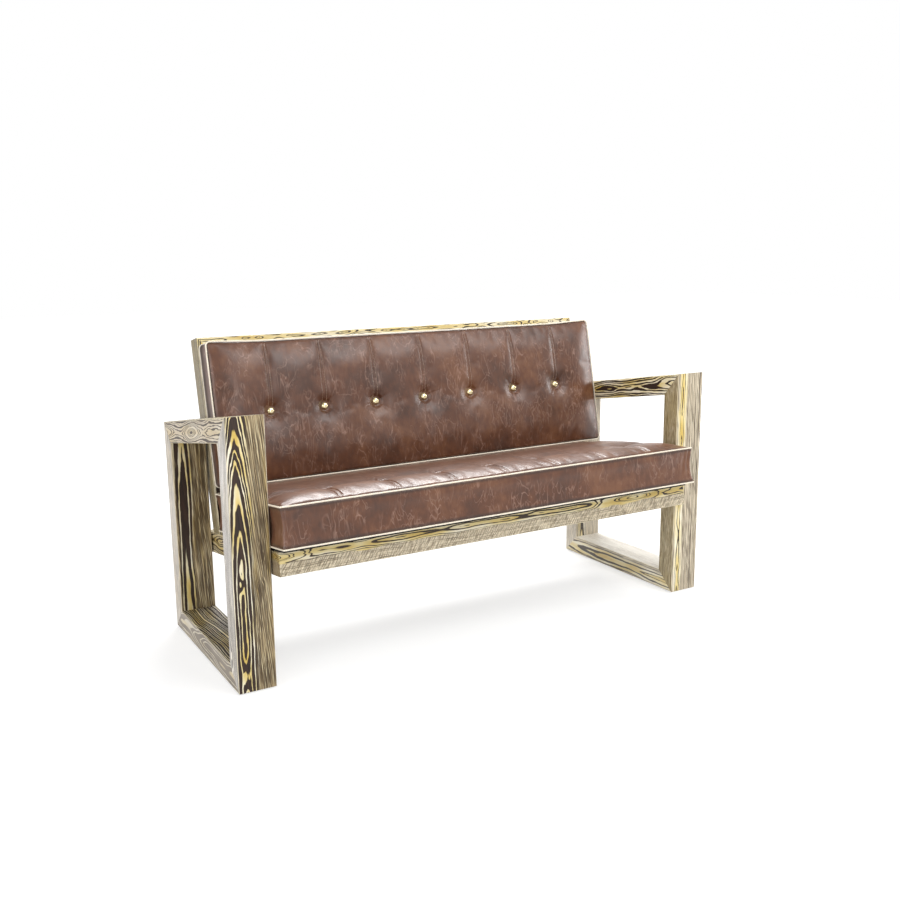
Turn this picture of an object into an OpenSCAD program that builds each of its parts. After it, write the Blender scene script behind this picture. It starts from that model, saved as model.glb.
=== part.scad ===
// Two-seat waiting bench: two mitred arm frames, a sloping seat frame, a leaning back
// frame, and two boxed cushions with piping, sewn tucks and pulled buttons.
// Lengths are in millimetres. X runs along the bench, Y towards the back, Z up.

/* [Overall] */
// Length over the two arm frames
overall_length = 1400; // [1100:10:2000]
// Depth of an arm frame
side_depth = 510; // [470:5:600]
// Height of an arm frame at the front
arm_front_height = 644; // [610:1:700]
// Height of an arm frame at the back
arm_rear_height = 562; // [530:1:600]

/* [Arm frames] */
// Width of a beam across the bench
beam_width = 92; // [70:1:120]
// Thickness of a beam
beam_thickness = 56; // [46:1:66]
// Radius of the eased long edges
edge_ease = 2.5; // [1:0.5:5]
// Thickness of the rubber strip under a floor rail
strip_thickness = 3; // [2:0.5:6]
// Distance from the edges of a floor rail to its rubber strip
strip_inset = 10; // [5:1:20]

/* [Seat frame] */
// Side of the square stock of the seat and back frames
rail_size = 56; // [48:1:64]
// Gap between an arm frame and the seat and back frames
frame_gap = 4; // [2:0.5:8]
// Slope of the seat down to the back, in degrees
seat_tilt = 8.3; // [5:0.1:11]
// Distance of the front rail's lower edge ahead of the arm frames
rail_overhang = 45; // [30:1:60]
// Height of the front rail's lower edge
rail_height = 279; // [260:1:300]
// Thickness of the board under the seat cushion
seat_board_thickness = 8; // [6:1:18]

/* [Back frame] */
// Lean of the back from upright, in degrees
back_rake = 11.9; // [9:0.1:15]
// Length of the back frame above the seat rails, along its front
stile_length = 515; // [470:5:560]
// Thickness of the board behind the back cushion
back_board_thickness = 20; // [12:1:25]
// Height of the back board that lies on the bottom rail
board_lap = 36; // [28:1:44]

/* [Cushions] */
// Thickness of the seat cushion at its edge
seat_cushion_thickness = 100; // [80:1:130]
// Thickness of the back cushion at its edge
back_cushion_thickness = 61; // [50:1:80]
// Height of the crown above the edge of a cushion
crown = 18; // [10:1:22]
// Distance from the edge over which the crown rises
crown_reach = 90; // [60:5:110]
// Distance of the seat cushion's front ahead of the front rail
seat_cushion_overhang = 46; // [35:1:55]
// Distance from the top of the back frame down to its cushion
top_reveal = 19; // [10:1:30]
// Distance that the middle of a boxing strip is drawn in
boxing_draw = 5; // [2:0.5:8]
// Corner radius of the seat cushion
seat_corner = 10; // [10:1:20]
// Corner radius of the back cushion
back_corner = 14; // [10:1:30]
// Diameter of the piping
piping_diameter = 4; // [3:0.5:5]
// Number of equal panels along a cushion
panels = 8; // [6:1:9]
// Distance from the front of the seat cushion to its tufts
seat_tuft_distance = 140; // [130:5:170]
// Height of the buttons above the bottom of the back cushion
button_height = 185; // [170:1:195]
// Distance from a cushion's sides to its foam
foam_inset = 16; // [14:1:20]
// Thickness of the wadding and cover over the foam
foam_cover = 11; // [9:1:14]
// Thickness of the cover below the foam
foam_floor = 6; // [4:1:10]

/* [Buttons and ties] */
// Diameter of a button
button_diameter = 22; // [15:0.5:26]
// Height of a button's dome
button_dome = 6.5; // [4:0.5:8]
// Diameter of a button's shank
shank_diameter = 5; // [4:0.5:6]
// Diameter of a tie
tie_diameter = 3; // [2:0.5:4]
// Diameter of the washer that holds a tie behind the back board
tie_washer_diameter = 20; // [16:1:26]
// Thickness of a tie's washer
tie_washer_thickness = 1.5; // [1:0.5:3]

/* [Joints and fixings] */
// Diameter of a dowel
dowel_diameter = 10; // [8:1:12]
// Length of a dowel
dowel_length = 50; // [40:2:52]
// Distance between the paired dowels of a mitre in an arm frame
mitre_dowel_spacing = 46; // [30:2:56]
// Distance between the paired dowels of a seat or back frame joint
rail_dowel_spacing = 28; // [24:1:32]
// Diameter of the bolts that hold the frames together
bolt_diameter = 8; // [6:1:10]
// Length of a bolt below its head
bolt_length = 70; // [64:1:74]
// Length of the threaded sleeve in a leg
sleeve_length = 25; // [22:1:30]
// Diameter of a sleeve
sleeve_diameter = 12; // [11:0.5:14]
// Distance from a bolt to the edge of its leg
bolt_edge_distance = 20; // [18:1:24]
// Depth of the pocket for a bolt's head
bolt_pocket_depth = 12; // [10:1:15]
// Diameter of the pocket for a bolt's head
bolt_pocket_diameter = 20; // [18:1:22]
// Thickness of a bolt's washer
bolt_washer_thickness = 1.6; // [1:0.2:2.4]
// Outer diameter of a spacer between the frames
spacer_diameter = 24; // [20:1:30]
// Diameter of a board screw
screw_diameter = 5; // [4:0.5:6]
// Length of a screw's bearing in the rail, above its pocket
screw_grip = 26; // [20:1:32]
// Depth that a screw enters its board
screw_bite = 6; // [4:0.5:7]
// Diameter of a screw's head
screw_head_diameter = 10; // [8:0.5:12]
// Diameter of the pocket for a screw's head
screw_pocket_diameter = 14; // [13:0.5:16]

/* [Hidden] */
$fn = 48;

// Colours
wood_pale = "#C9B98F";
wood_yellow = "#C8AE5C";
wood_dark = "#8A7A4E";
leather_brown = "#7C5246";
piping_cream = "#EBDDB8";
board_black = "#1C1B1A";
dowel_beech = "#D9BE93";
foam_yellow = "#E9DFA6";
steel_grey = "#A9ABAE";
brass_gold = "#D8B45A";
rubber_black = "#262524";
twine_white = "#DDD8C8";

// Clearances and small sizes
overrun = 5;
bore_clearance = 0.1;
bolt_hole_clearance = 0.5;
soft_clearance = 0.3;
dowel_end_clearance = 1;
bolt_head_height = 8;
bolt_head_diameter = 13;
bolt_washer_diameter = 16;
hex_key_size = 6;
hex_key_depth = 4;
sleeve_hole_clearance = 1;
screw_head_height = 3;
board_recess = 10;
board_front_recess = 30;
knot_diameter = 7;
knot_height = 3;

// Places along a rail, as shares of its half length
cross_rail_share = 0.33;
screw_place_shares = [-0.78, 0, 0.78];
back_screw_place_shares = [-0.85, -0.31, 0.31, 0.85];

// Form of the cushions
crown_power = 2.2;
seam_half_width = 8;
seam_dip = 4;
tuft_reach = 46;
seat_tuft_dip = 9;
back_tuft_dip = 15;
fold_reach = 34;
seat_fold_dip = 5;
edge_band = 34;
inner_band = 72;
button_sink = 0.6;
// Where the cover meets the piping, in radii of the piping
near_share = 0.8;
notch_share = 2 + sqrt(2);

// Arm frame outline, from the lower front corner round to the lower rear corner
arm_slope = atan((arm_front_height - arm_rear_height) / side_depth);
arm_drop = beam_thickness / cos(arm_slope);
function arm_top(y) = arm_front_height - y * tan(arm_slope);
outer_corners = [
    [0, strip_thickness],
    [0, arm_front_height],
    [side_depth, arm_rear_height],
    [side_depth, strip_thickness]
];
inner_corners = [
    [beam_thickness, strip_thickness + beam_thickness],
    [beam_thickness, arm_top(beam_thickness) - arm_drop],
    [side_depth - beam_thickness, arm_top(side_depth - beam_thickness) - arm_drop],
    [side_depth - beam_thickness, strip_thickness + beam_thickness]
];
bay_half = overall_length / 2 - beam_width;
arm_frame_x = bay_half + beam_width / 2;
rail_half = bay_half - frame_gap;

// Seat frame: its own axes start at the front rail's lower front edge
seat_origin = [-rail_overhang, rail_height];
seat_along = [cos(seat_tilt), -sin(seat_tilt)];
seat_up = [sin(seat_tilt), cos(seat_tilt)];
function seat_place(u, v) = seat_origin + u * seat_along + v * seat_up;
function seat_reach(y, v) = (y - seat_origin[0] - v * seat_up[0]) / seat_along[0];

// Back frame: its front passes the arm frame's rear corner, one beam ahead of the rear face
back_along = [cos(back_rake), -sin(back_rake)];
back_up = [sin(back_rake), cos(back_rake)];
back_lean = back_rake - seat_tilt;
back_pass = [side_depth - beam_thickness, arm_rear_height];
back_drop = ((back_pass - seat_origin) * seat_up - rail_size) / (back_up * seat_up);
back_foot = back_pass - back_drop * back_up;
seat_depth = (back_foot - seat_origin) * seat_along;
function back_place(y, s) = back_foot + y * back_along + s * back_up;

// Seat rails
side_rail_end = seat_reach(side_depth, rail_size);
rear_rail_start = seat_depth - rail_size / 2;
cross_rail_x = rail_half * cross_rail_share;
seat_board_top = rail_size + seat_board_thickness;

// Cushions
piping_radius = piping_diameter / 2;
cushion_half = bay_half - soft_clearance;
seat_cushion_depth = seat_depth - soft_clearance + seat_cushion_overhang;
seat_crown_top = seat_board_top + seat_cushion_thickness - near_share * piping_radius + crown;
back_cushion_front = back_board_thickness + back_cushion_thickness;
back_cushion_bottom = (seat_crown_top + soft_clearance - rail_size
    - back_cushion_front * sin(back_lean)) / cos(back_lean);
back_cushion_top = stile_length - top_reveal;
back_cushion_height = back_cushion_top - back_cushion_bottom;
panel_width = 2 * cushion_half / panels;

// Back board and bottom rail
back_board_bottom = back_cushion_bottom + board_recess;
back_board_top = back_cushion_top - board_recess;
bottom_rail_top = back_board_bottom + board_lap;
top_screw_height = (back_board_top + stile_length - rail_size) / 2;
bottom_screw_height = back_board_bottom + board_lap / 2;
board_half = cushion_half - board_recess;

// Bolts, each as its place in Y and Z
side_bolt_v = rail_size / 2;
function side_bolt(y) = seat_place(seat_reach(y, side_bolt_v), side_bolt_v);
bolt_places = [
    side_bolt(beam_thickness - bolt_edge_distance),
    side_bolt(side_depth - beam_thickness / 2),
    [side_depth - beam_thickness + bolt_edge_distance, inner_corners[2][1] - bolt_edge_distance]
];

// Half of the whole depth, so that the origin lies under its middle
front_reach = seat_place(piping_radius - seat_cushion_overhang, seat_board_top + piping_radius)[0]
    - piping_radius;
rear_reach = back_place(rail_size - edge_ease, stile_length - edge_ease)[0] + edge_ease;
middle_y = (front_reach + rear_reach) / 2;

module placed() {
    translate([0, -middle_y, 0]) children();
}

module in_seat() {
    translate([0, seat_origin[0], seat_origin[1]]) rotate([-seat_tilt, 0, 0]) children();
}

module in_back() {
    translate([0, back_foot[0], back_foot[1]]) rotate([-back_rake, 0, 0]) children();
}

// The bench is modelled on its right and mirrored to its left
module on_side(side) {
    if (side > 0) children();
    else mirror([1, 0, 0]) children();
}

module on_both_sides() {
    children();
    mirror([1, 0, 0]) children();
}

// Section of a bar with eased edges, centred
module eased_section(width, thickness) {
    square([width - 2 * edge_ease, thickness], center = true);
    square([width, thickness - 2 * edge_ease], center = true);
    for (x = [-1, 1]) for (y = [-1, 1])
        translate([x * (width / 2 - edge_ease), y * (thickness / 2 - edge_ease)])
            circle(edge_ease);
}

module bar_along_x(length) {
    rotate([90, 0, 90]) linear_extrude(length, center = true) eased_section(rail_size, rail_size);
}

module bar_along_y(length) {
    rotate([-90, 0, 0]) linear_extrude(length) eased_section(rail_size, rail_size);
}

module bar_along_z(length) {
    linear_extrude(length) eased_section(rail_size, rail_size);
}

// A slab across the bench whose outline is drawn in Y and Z
module side_slab(outline, width) {
    rotate([90, 0, 90]) linear_extrude(width, center = true) polygon(outline);
}

// A slab from front to back whose outline is drawn in X and Z
module face_slab(outline, low, high) {
    translate([0, high, 0]) rotate([90, 0, 0]) linear_extrude(high - low) polygon(outline);
}

// Arm frames: beam i runs from corner i to corner i + 1 of the outline
module arm_beam(i) {
    j = (i + 1) % 4;
    run = outer_corners[j] - outer_corners[i];
    length = norm(run);
    difference() {
        translate([arm_frame_x, 0, 0]) intersection() {
            side_slab([outer_corners[i], outer_corners[j], inner_corners[j], inner_corners[i]],
                beam_width + 2 * overrun);
            translate([0, outer_corners[i][0], outer_corners[i][1]])
                rotate([atan2(-run[0], run[1]), 0, 0])
                translate([0, beam_thickness / 2, -overrun])
                linear_extrude(length + 2 * overrun) eased_section(beam_width, beam_thickness);
        }
        for (corner = [i, j])
            mitre_dowels(corner, dowel_diameter / 2 + bore_clearance,
                dowel_length + 2 * dowel_end_clearance);
        for (place = bolt_places)
            translate([bay_half - overrun, place[0], place[1]]) rotate([0, 90, 0])
                cylinder(r = sleeve_diameter / 2 + bore_clearance,
                    h = overrun + sleeve_length + sleeve_hole_clearance);
    }
}

// Paired dowels square to the mitre at one corner of an arm frame
module mitre_dowels(corner, radius, length) {
    cut = inner_corners[corner] - outer_corners[corner];
    middle = (inner_corners[corner] + outer_corners[corner]) / 2;
    for (x = [-1, 1])
        translate([arm_frame_x + x * mitre_dowel_spacing / 2, middle[0], middle[1]])
            rotate([atan2(cut[1], cut[0]), 0, 0]) cylinder(r = radius, h = length, center = true);
}

module floor_strip() {
    translate([arm_frame_x - beam_width / 2 + strip_inset, strip_inset, 0])
        cube([beam_width - 2 * strip_inset, side_depth - 2 * strip_inset, strip_thickness]);
}

module left_front_leg() color(wood_yellow) placed() on_side(-1) arm_beam(0);
module left_arm_rail() color(wood_pale) placed() on_side(-1) arm_beam(1);
module left_rear_leg() color(wood_dark) placed() on_side(-1) arm_beam(2);
module left_floor_rail() color(wood_dark) placed() on_side(-1) arm_beam(3);
module right_front_leg() color(wood_pale) placed() on_side(1) arm_beam(0);
module right_arm_rail() color(wood_yellow) placed() on_side(1) arm_beam(1);
module right_rear_leg() color(wood_pale) placed() on_side(1) arm_beam(2);
module right_floor_rail() color(wood_pale) placed() on_side(1) arm_beam(3);
module left_floor_strip() color(rubber_black) placed() on_side(-1) floor_strip();
module right_floor_strip() color(rubber_black) placed() on_side(1) floor_strip();

module arm_frame_dowels() color(dowel_beech) placed() on_both_sides() {
    for (corner = [0 : 3]) mitre_dowels(corner, dowel_diameter / 2, dowel_length);
}

// Bores and dowels of the seat frame, in the seat's axes
module seat_dowel_set(radius, length) {
    low_v = rail_size / 5;
    for (x = [-1, 1]) {
        for (v = [low_v, rail_size - low_v])
            translate([x * (rail_half - rail_size / 2), rail_size, v])
                rotate([90, 0, 0]) cylinder(r = radius, h = length, center = true);
        for (u = [-1, 1])
            translate([x * (rail_half - rail_size), rear_rail_start + rail_size / 2
                + u * rail_dowel_spacing / 2, low_v])
                rotate([0, 90, 0]) cylinder(r = radius, h = length, center = true);
        for (u = [rail_size, rear_rail_start]) for (dx = [-1, 1])
            translate([x * cross_rail_x + dx * rail_dowel_spacing / 2, u, rail_size / 2])
                rotate([90, 0, 0]) cylinder(r = radius, h = length, center = true);
    }
}

// Pockets and shanks of the screws under the seat board, in the seat's axes
module at_seat_screws() {
    for (u = [rail_size / 2, rear_rail_start + rail_size / 4]) for (share = screw_place_shares)
        translate([share * rail_half, u, rail_size]) children();
    for (x = [-1, 1])
        translate([x * cross_rail_x, (rail_size + rear_rail_start) / 2, rail_size]) children();
}

module screw_hole(thickness) {
    translate([0, 0, -thickness - overrun])
        cylinder(d = screw_pocket_diameter, h = thickness + overrun - screw_grip);
    translate([0, 0, -thickness]) cylinder(r = screw_diameter / 2 + bore_clearance,
        h = thickness + screw_bite);
}

module board_screw() {
    difference() {
        union() {
            translate([0, 0, -screw_grip]) cylinder(d = screw_diameter, h = screw_grip + screw_bite);
            translate([0, 0, -screw_grip - screw_head_height])
                cylinder(d = screw_head_diameter, h = screw_head_height);
        }
        for (turn = [0, 90])
            translate([0, 0, -screw_grip - screw_head_height]) rotate([0, 0, turn])
                cube([screw_head_diameter / 2, screw_head_height / 3, screw_head_height],
                    center = true);
    }
}

// Side bolt bores that pass through the seat's side rails and the back's stiles
module bolt_bores() {
    for (place = bolt_places) translate([rail_half + overrun, place[0], place[1]])
        rotate([0, -90, 0]) {
            cylinder(r = bolt_diameter / 2 + bolt_hole_clearance, h = rail_size + 2 * overrun);
            translate([0, 0, rail_size + overrun - bolt_pocket_depth])
                cylinder(d = bolt_pocket_diameter, h = bolt_pocket_depth + overrun);
        }
}

module seat_frame_cuts() {
    seat_dowel_set(dowel_diameter / 2 + bore_clearance, dowel_length + 2 * dowel_end_clearance);
    at_seat_screws() screw_hole(rail_size);
}

module side_rail(side) {
    on_side(side) difference() {
        in_seat() difference() {
            translate([rail_half - rail_size / 2, rail_size, rail_size / 2])
                bar_along_y(side_rail_end - rail_size);
            seat_frame_cuts();
            foot_dowels(dowel_diameter / 2 + bore_clearance, dowel_end_clearance);
        }
        bolt_bores();
    }
}

module cross_rail(side) {
    on_side(side) in_seat() difference() {
        translate([cross_rail_x, rail_size, rail_size / 2])
            bar_along_y(rear_rail_start - rail_size);
        seat_frame_cuts();
    }
}

module front_seat_rail() color(wood_yellow) placed() in_seat() difference() {
    translate([0, rail_size / 2, rail_size / 2]) bar_along_x(2 * rail_half);
    seat_frame_cuts();
}

module rear_seat_rail() color(wood_pale) placed() in_seat() difference() {
    translate([0, rear_rail_start + rail_size / 2, rail_size / 2])
        bar_along_x(2 * (rail_half - rail_size));
    seat_frame_cuts();
}

module left_side_rail() color(wood_dark) placed() side_rail(-1);
module right_side_rail() color(wood_dark) placed() side_rail(1);
module left_cross_rail() color(wood_pale) placed() cross_rail(-1);
module right_cross_rail() color(wood_pale) placed() cross_rail(1);

module seat_frame_dowels() color(dowel_beech) placed() in_seat()
    seat_dowel_set(dowel_diameter / 2, dowel_length);

module seat_board() color(board_black) placed() in_seat() difference() {
    translate([-board_half, board_front_recess - seat_cushion_overhang, rail_size])
        cube([2 * board_half, seat_cushion_depth - board_front_recess, seat_board_thickness]);
    at_seat_screws() screw_hole(rail_size);
}

module seat_board_screws() color(steel_grey) placed() in_seat() at_seat_screws() board_screw();

// Dowels that stand the back's stiles on the side rails, in the seat's axes
module foot_dowels(radius, extra) {
    middle_u = seat_depth + rail_size / 2;
    depth = dowel_length / 2 + extra - dowel_diameter / 2;
    for (x = [-1, 1]) for (u = [-1, 1])
        translate([x * (rail_half - rail_size / 2), middle_u + u * rail_dowel_spacing / 2,
            rail_size - depth]) cylinder(r = radius, h = 2 * depth);
}

// Dowels of the back frame, in the back's axes
module back_dowel_set(radius, length) {
    corner = [rail_half - rail_size / 2, stile_length - rail_size / 2];
    for (x = [-1, 1]) {
        for (y = [-1, 1])
            translate([x * corner[0], rail_size / 2 + y * rail_dowel_spacing / 2, corner[1]])
                rotate([0, -x * 45, 0]) cylinder(r = radius, h = length, center = true);
        for (s = [-1, 1])
            translate([x * (rail_half - rail_size), rail_size / 4,
                bottom_rail_top - rail_size / 2 + s * rail_dowel_spacing / 2])
                rotate([0, 90, 0]) cylinder(r = radius, h = length, center = true);
    }
}

// Screws that hold the back board, driven from behind, in the back's axes
module at_back_screws() {
    for (s = [bottom_screw_height, top_screw_height]) for (share = back_screw_place_shares)
        translate([share * (rail_half - rail_size), 0, s]) rotate([90, 0, 0]) children();
}

module back_frame_cuts() {
    back_dowel_set(dowel_diameter / 2 + bore_clearance, dowel_length + 2 * dowel_end_clearance);
    at_back_screws() screw_hole(rail_size);
}

module stile(side) {
    outer = rail_half;
    inner = rail_half - rail_size;
    foot_rise = rail_size * tan(back_lean);
    on_side(side) difference() {
        in_back() difference() {
            intersection() {
                translate([outer - rail_size / 2, rail_size / 2, -rail_size])
                    bar_along_z(stile_length + 2 * rail_size);
                face_slab([[outer + overrun, -rail_size], [outer + overrun, stile_length + overrun],
                    [inner, stile_length - rail_size], [inner, -rail_size]],
                    -overrun, rail_size + overrun);
                translate([outer, 0, 0]) side_slab([[0, 0], [rail_size, foot_rise],
                    [rail_size, stile_length], [0, stile_length]], 2 * rail_size + overrun);
            }
            back_frame_cuts();
        }
        bolt_bores();
        in_seat() foot_dowels(dowel_diameter / 2 + bore_clearance, dowel_end_clearance);
    }
}

module left_back_stile() color(wood_pale) placed() stile(-1);
module right_back_stile() color(wood_pale) placed() stile(1);

module back_top_rail() color(wood_yellow) placed() in_back() difference() {
    intersection() {
        translate([0, rail_size / 2, stile_length - rail_size / 2]) bar_along_x(2 * rail_half);
        face_slab([[-rail_half - overrun, stile_length + overrun],
            [rail_half + overrun, stile_length + overrun],
            [rail_half - rail_size, stile_length - rail_size],
            [rail_size - rail_half, stile_length - rail_size]], -overrun, rail_size + overrun);
    }
    back_frame_cuts();
}

module back_bottom_rail() color(wood_dark) placed() in_back() difference() {
    translate([0, rail_size / 2, bottom_rail_top - rail_size / 2])
        bar_along_x(2 * (rail_half - rail_size));
    back_frame_cuts();
}

module back_frame_dowels() color(dowel_beech) placed() {
    in_back() back_dowel_set(dowel_diameter / 2, dowel_length);
    in_seat() foot_dowels(dowel_diameter / 2, 0);
}

module back_board() color(board_black) placed() in_back() difference() {
    translate([-board_half, -back_board_thickness, back_board_bottom])
        cube([2 * board_half, back_board_thickness, back_board_top - back_board_bottom]);
    at_back_screws() screw_hole(rail_size);
    at_buttons() tie_bore();
}

module back_board_screws() color(steel_grey) placed() in_back() at_back_screws() board_screw();

// Bolts, washers, spacers and sleeves, along each bolt's own axis
module at_bolts() on_both_sides()
    for (place = bolt_places)
        translate([rail_half - rail_size + bolt_pocket_depth, place[0], place[1]])
            rotate([0, 90, 0]) children();

module ring(outer_diameter, inner_radius, height) {
    difference() {
        cylinder(d = outer_diameter, h = height);
        translate([0, 0, -overrun]) cylinder(r = inner_radius, h = height + 2 * overrun);
    }
}

module frame_bolts() color(steel_grey) placed() at_bolts() {
    head_z = -bolt_washer_thickness - bolt_head_height;
    difference() {
        union() {
            translate([0, 0, head_z]) cylinder(d = bolt_head_diameter, h = bolt_head_height);
            translate([0, 0, -bolt_washer_thickness]) cylinder(d = bolt_diameter, h = bolt_length);
        }
        translate([0, 0, head_z - overrun])
            cylinder(d = hex_key_size, h = hex_key_depth + overrun, $fn = 6);
    }
}

module bolt_washers() color(steel_grey) placed() at_bolts()
    translate([0, 0, -bolt_washer_thickness])
        ring(bolt_washer_diameter, bolt_diameter / 2 + bore_clearance, bolt_washer_thickness);

module frame_spacers() color(steel_grey) placed() at_bolts()
    translate([0, 0, rail_size - bolt_pocket_depth])
        ring(spacer_diameter, bolt_diameter / 2 + bore_clearance, frame_gap);

module leg_sleeves() color(steel_grey) placed() at_bolts()
    translate([0, 0, rail_size - bolt_pocket_depth + frame_gap])
        ring(sleeve_diameter, bolt_diameter / 2 + bore_clearance, sleeve_length);

// Cushion form. Local axes: X along the bench, Y across the cushion, Z out of its face
seam_places = [for (k = [1 : panels - 1]) -cushion_half + k * panel_width];

function bump(t) = abs(t) >= 1 ? 0 : pow(1 - t * t, 2);
function edge_rise(distance) =
    1 - pow(1 - min(1, max(0, distance / crown_reach)), crown_power);
function nearest_seam(x) =
    seam_places[max(0, min(panels - 2, round((x + cushion_half) / panel_width) - 1))];

// Columns and rows of the cushion's face, closer together at its edges, seams and tufts
function cushion_columns(corner) = concat(
    [-cushion_half, corner - cushion_half, edge_band - cushion_half],
    [for (k = [0 : panels - 1]) for (x = concat([-cushion_half + (k + 0.5) * panel_width],
        k == panels - 1 ? [] : [for (d = [-tuft_reach / 2, -seam_half_width, 0,
            seam_half_width, tuft_reach / 2]) seam_places[k] + d])) x],
    [cushion_half - edge_band, cushion_half - corner, cushion_half]);
function cushion_rows(height, corner, tuft) = concat(
    [0, corner, edge_band, inner_band],
    [for (d = [-tuft_reach / 2, -seam_half_width, 0, seam_half_width, tuft_reach / 2]) tuft + d],
    [for (share = [1 / 3, 2 / 3]) tuft + tuft_reach / 2
        + share * (height - inner_band - tuft - tuft_reach / 2)],
    [height - inner_band, height - edge_band, height - corner, height]);

// Height of the face at one place: crown, less the seam, the tuft and the fold
function face_height(x, y, height, tuft, sewn_edge, tuft_dip, fold_dip) =
    let (rise = edge_rise(cushion_half - abs(x)) * edge_rise(min(y, height - y)),
        dx = x - nearest_seam(x),
        dy = y - tuft,
        sewn = dy * (sewn_edge - tuft) >= 0 ? bump(dx / seam_half_width) : 0,
        pulled = bump(norm([dx, dy]) / tuft_reach),
        folded = bump(dy / fold_reach))
    rise * (crown - max(seam_dip * sewn, tuft_dip * pulled, fold_dip * folded));

// Place of a rim vertex of the cushion, set in from its outline by an inset
function rim_place(i, j, last_i, last_j, columns, rows, corner, inset) =
    let (height = rows[last_j],
        corner_reach = corner - (corner - inset) * cos(45),
        side = i == 0 ? -1 : 1,
        at_corner = (i == 0 || i == last_i) && (j == 0 || j == last_j))
    at_corner
        ? [side * (cushion_half - corner_reach), j == 0 ? corner_reach : height - corner_reach]
        : [i == 0 || i == last_i ? side * (cushion_half - inset) : columns[i],
            j == 0 ? inset : j == last_j ? height - inset : rows[j]];

module cushion_form(height, thickness, corner, tuft, sewn_edge, tuft_dip, fold_dip) {
    columns = cushion_columns(corner);
    rows = cushion_rows(height, corner, tuft);
    last_i = len(columns) - 1;
    last_j = len(rows) - 1;
    near = near_share * piping_radius;
    far = (notch_share - near_share) * piping_radius + soft_clearance;
    foot = notch_share * piping_radius + soft_clearance;
    middle_draw = min(near + boxing_draw, corner - near);
    rim = concat([for (i = [0 : last_i]) [i, 0]], [for (j = [1 : last_j]) [last_i, j]],
        [for (i = [last_i - 1 : -1 : 0]) [i, last_j]], [for (j = [last_j - 1 : -1 : 1]) [0, j]]);
    rim_count = len(rim);
    // Insets and heights of the rings below the face, from the top piping to the bottom
    rings = [[near, thickness - far], [middle_draw, thickness / 2], [near, far], [foot, 0]];
    face_points = [for (j = [0 : last_j]) for (i = [0 : last_i])
        let (edge = i == 0 || j == 0 || i == last_i || j == last_j,
            place = edge ? rim_place(i, j, last_i, last_j, columns, rows, corner, far)
                : [columns[i], rows[j]])
        [place[0], place[1], thickness - near
            + (edge ? 0 : face_height(place[0], place[1], height, tuft, sewn_edge, tuft_dip,
                fold_dip))]];
    ring_points = [for (ring = rings) for (r = rim)
        let (place = rim_place(r[0], r[1], last_i, last_j, columns, rows, corner, ring[0]))
        [place[0], place[1], ring[1]]];
    face_count = len(face_points);
    centre = face_count + len(ring_points);
    function face_index(i, j) = j * (last_i + 1) + i;
    function ring_index(ring, k) = ring < 0 ? face_index(rim[k % rim_count][0], rim[k % rim_count][1])
        : face_count + ring * rim_count + k % rim_count;
    face_triangles = [for (j = [0 : last_j - 1]) for (i = [0 : last_i - 1])
        let (a = face_index(i, j), b = face_index(i + 1, j), c = face_index(i + 1, j + 1),
            d = face_index(i, j + 1))
        for (t = (i + j) % 2 == 0 ? [[a, c, b], [a, d, c]] : [[a, d, b], [b, d, c]]) t];
    side_triangles = [for (ring = [-1 : len(rings) - 2]) for (k = [0 : rim_count - 1])
        let (a = ring_index(ring, k), b = ring_index(ring, k + 1),
            c = ring_index(ring + 1, k + 1), d = ring_index(ring + 1, k))
        for (t = [[a, b, c], [a, c, d]]) t];
    base_triangles = [for (k = [0 : rim_count - 1])
        [centre, ring_index(len(rings) - 1, k), ring_index(len(rings) - 1, k + 1)]];
    polyhedron(concat(face_points, ring_points, [[0, height / 2, 0]]),
        concat(face_triangles, side_triangles, base_triangles));
}

// A foam core, smaller than the cushion by the inset and a clearance
module foam_core(height, thickness, clearance) {
    inset = foam_inset + clearance;
    translate([inset - cushion_half, inset, foam_floor + clearance])
        cube([2 * (cushion_half - inset), height - 2 * inset,
            thickness - foam_floor - foam_cover - 2 * clearance]);
}

// One loop of piping round a cushion, centred on the height of its seam
module piping_loop(height, corner, seam_z) {
    r = piping_radius;
    bend = corner - r;
    for (x = [-1, 1]) {
        translate([x * (cushion_half - r), corner, seam_z])
            rotate([-90, 0, 0]) cylinder(r = r, h = height - 2 * corner);
        translate([x * (cushion_half - corner), corner, seam_z])
            rotate([0, 0, x > 0 ? -90 : 180]) rotate_extrude(angle = 90)
                translate([bend, 0]) circle(r);
        translate([x * (cushion_half - corner), height - corner, seam_z])
            rotate([0, 0, x > 0 ? 0 : 90]) rotate_extrude(angle = 90)
                translate([bend, 0]) circle(r);
    }
    for (y = [r, height - r])
        translate([corner - cushion_half, y, seam_z])
            rotate([0, 90, 0]) cylinder(r = r, h = 2 * (cushion_half - corner));
}

module in_seat_cushion() {
    in_seat() translate([0, -seat_cushion_overhang, seat_board_top]) children();
}

module in_back_cushion() {
    in_back() translate([0, -back_board_thickness, back_cushion_bottom])
        rotate([90, 0, 0]) children();
}

module seat_cushion() color(leather_brown) placed() in_seat_cushion() difference() {
    cushion_form(seat_cushion_depth, seat_cushion_thickness, seat_corner, seat_tuft_distance, 0,
        seat_tuft_dip, seat_fold_dip);
    foam_core(seat_cushion_depth, seat_cushion_thickness, 0);
}

module seat_foam() color(foam_yellow) placed() in_seat_cushion()
    foam_core(seat_cushion_depth, seat_cushion_thickness, bore_clearance);

module seat_top_piping() color(piping_cream) placed() in_seat_cushion()
    piping_loop(seat_cushion_depth, seat_corner, seat_cushion_thickness - piping_radius);

module seat_bottom_piping() color(piping_cream) placed() in_seat_cushion()
    piping_loop(seat_cushion_depth, seat_corner, piping_radius);

// Buttons stand in dimples of the back cushion; places are in the cushion's own axes
button_seat = back_cushion_thickness - near_share * piping_radius + crown - back_tuft_dip
    - button_sink;
foam_top = back_cushion_thickness - foam_cover;

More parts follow.
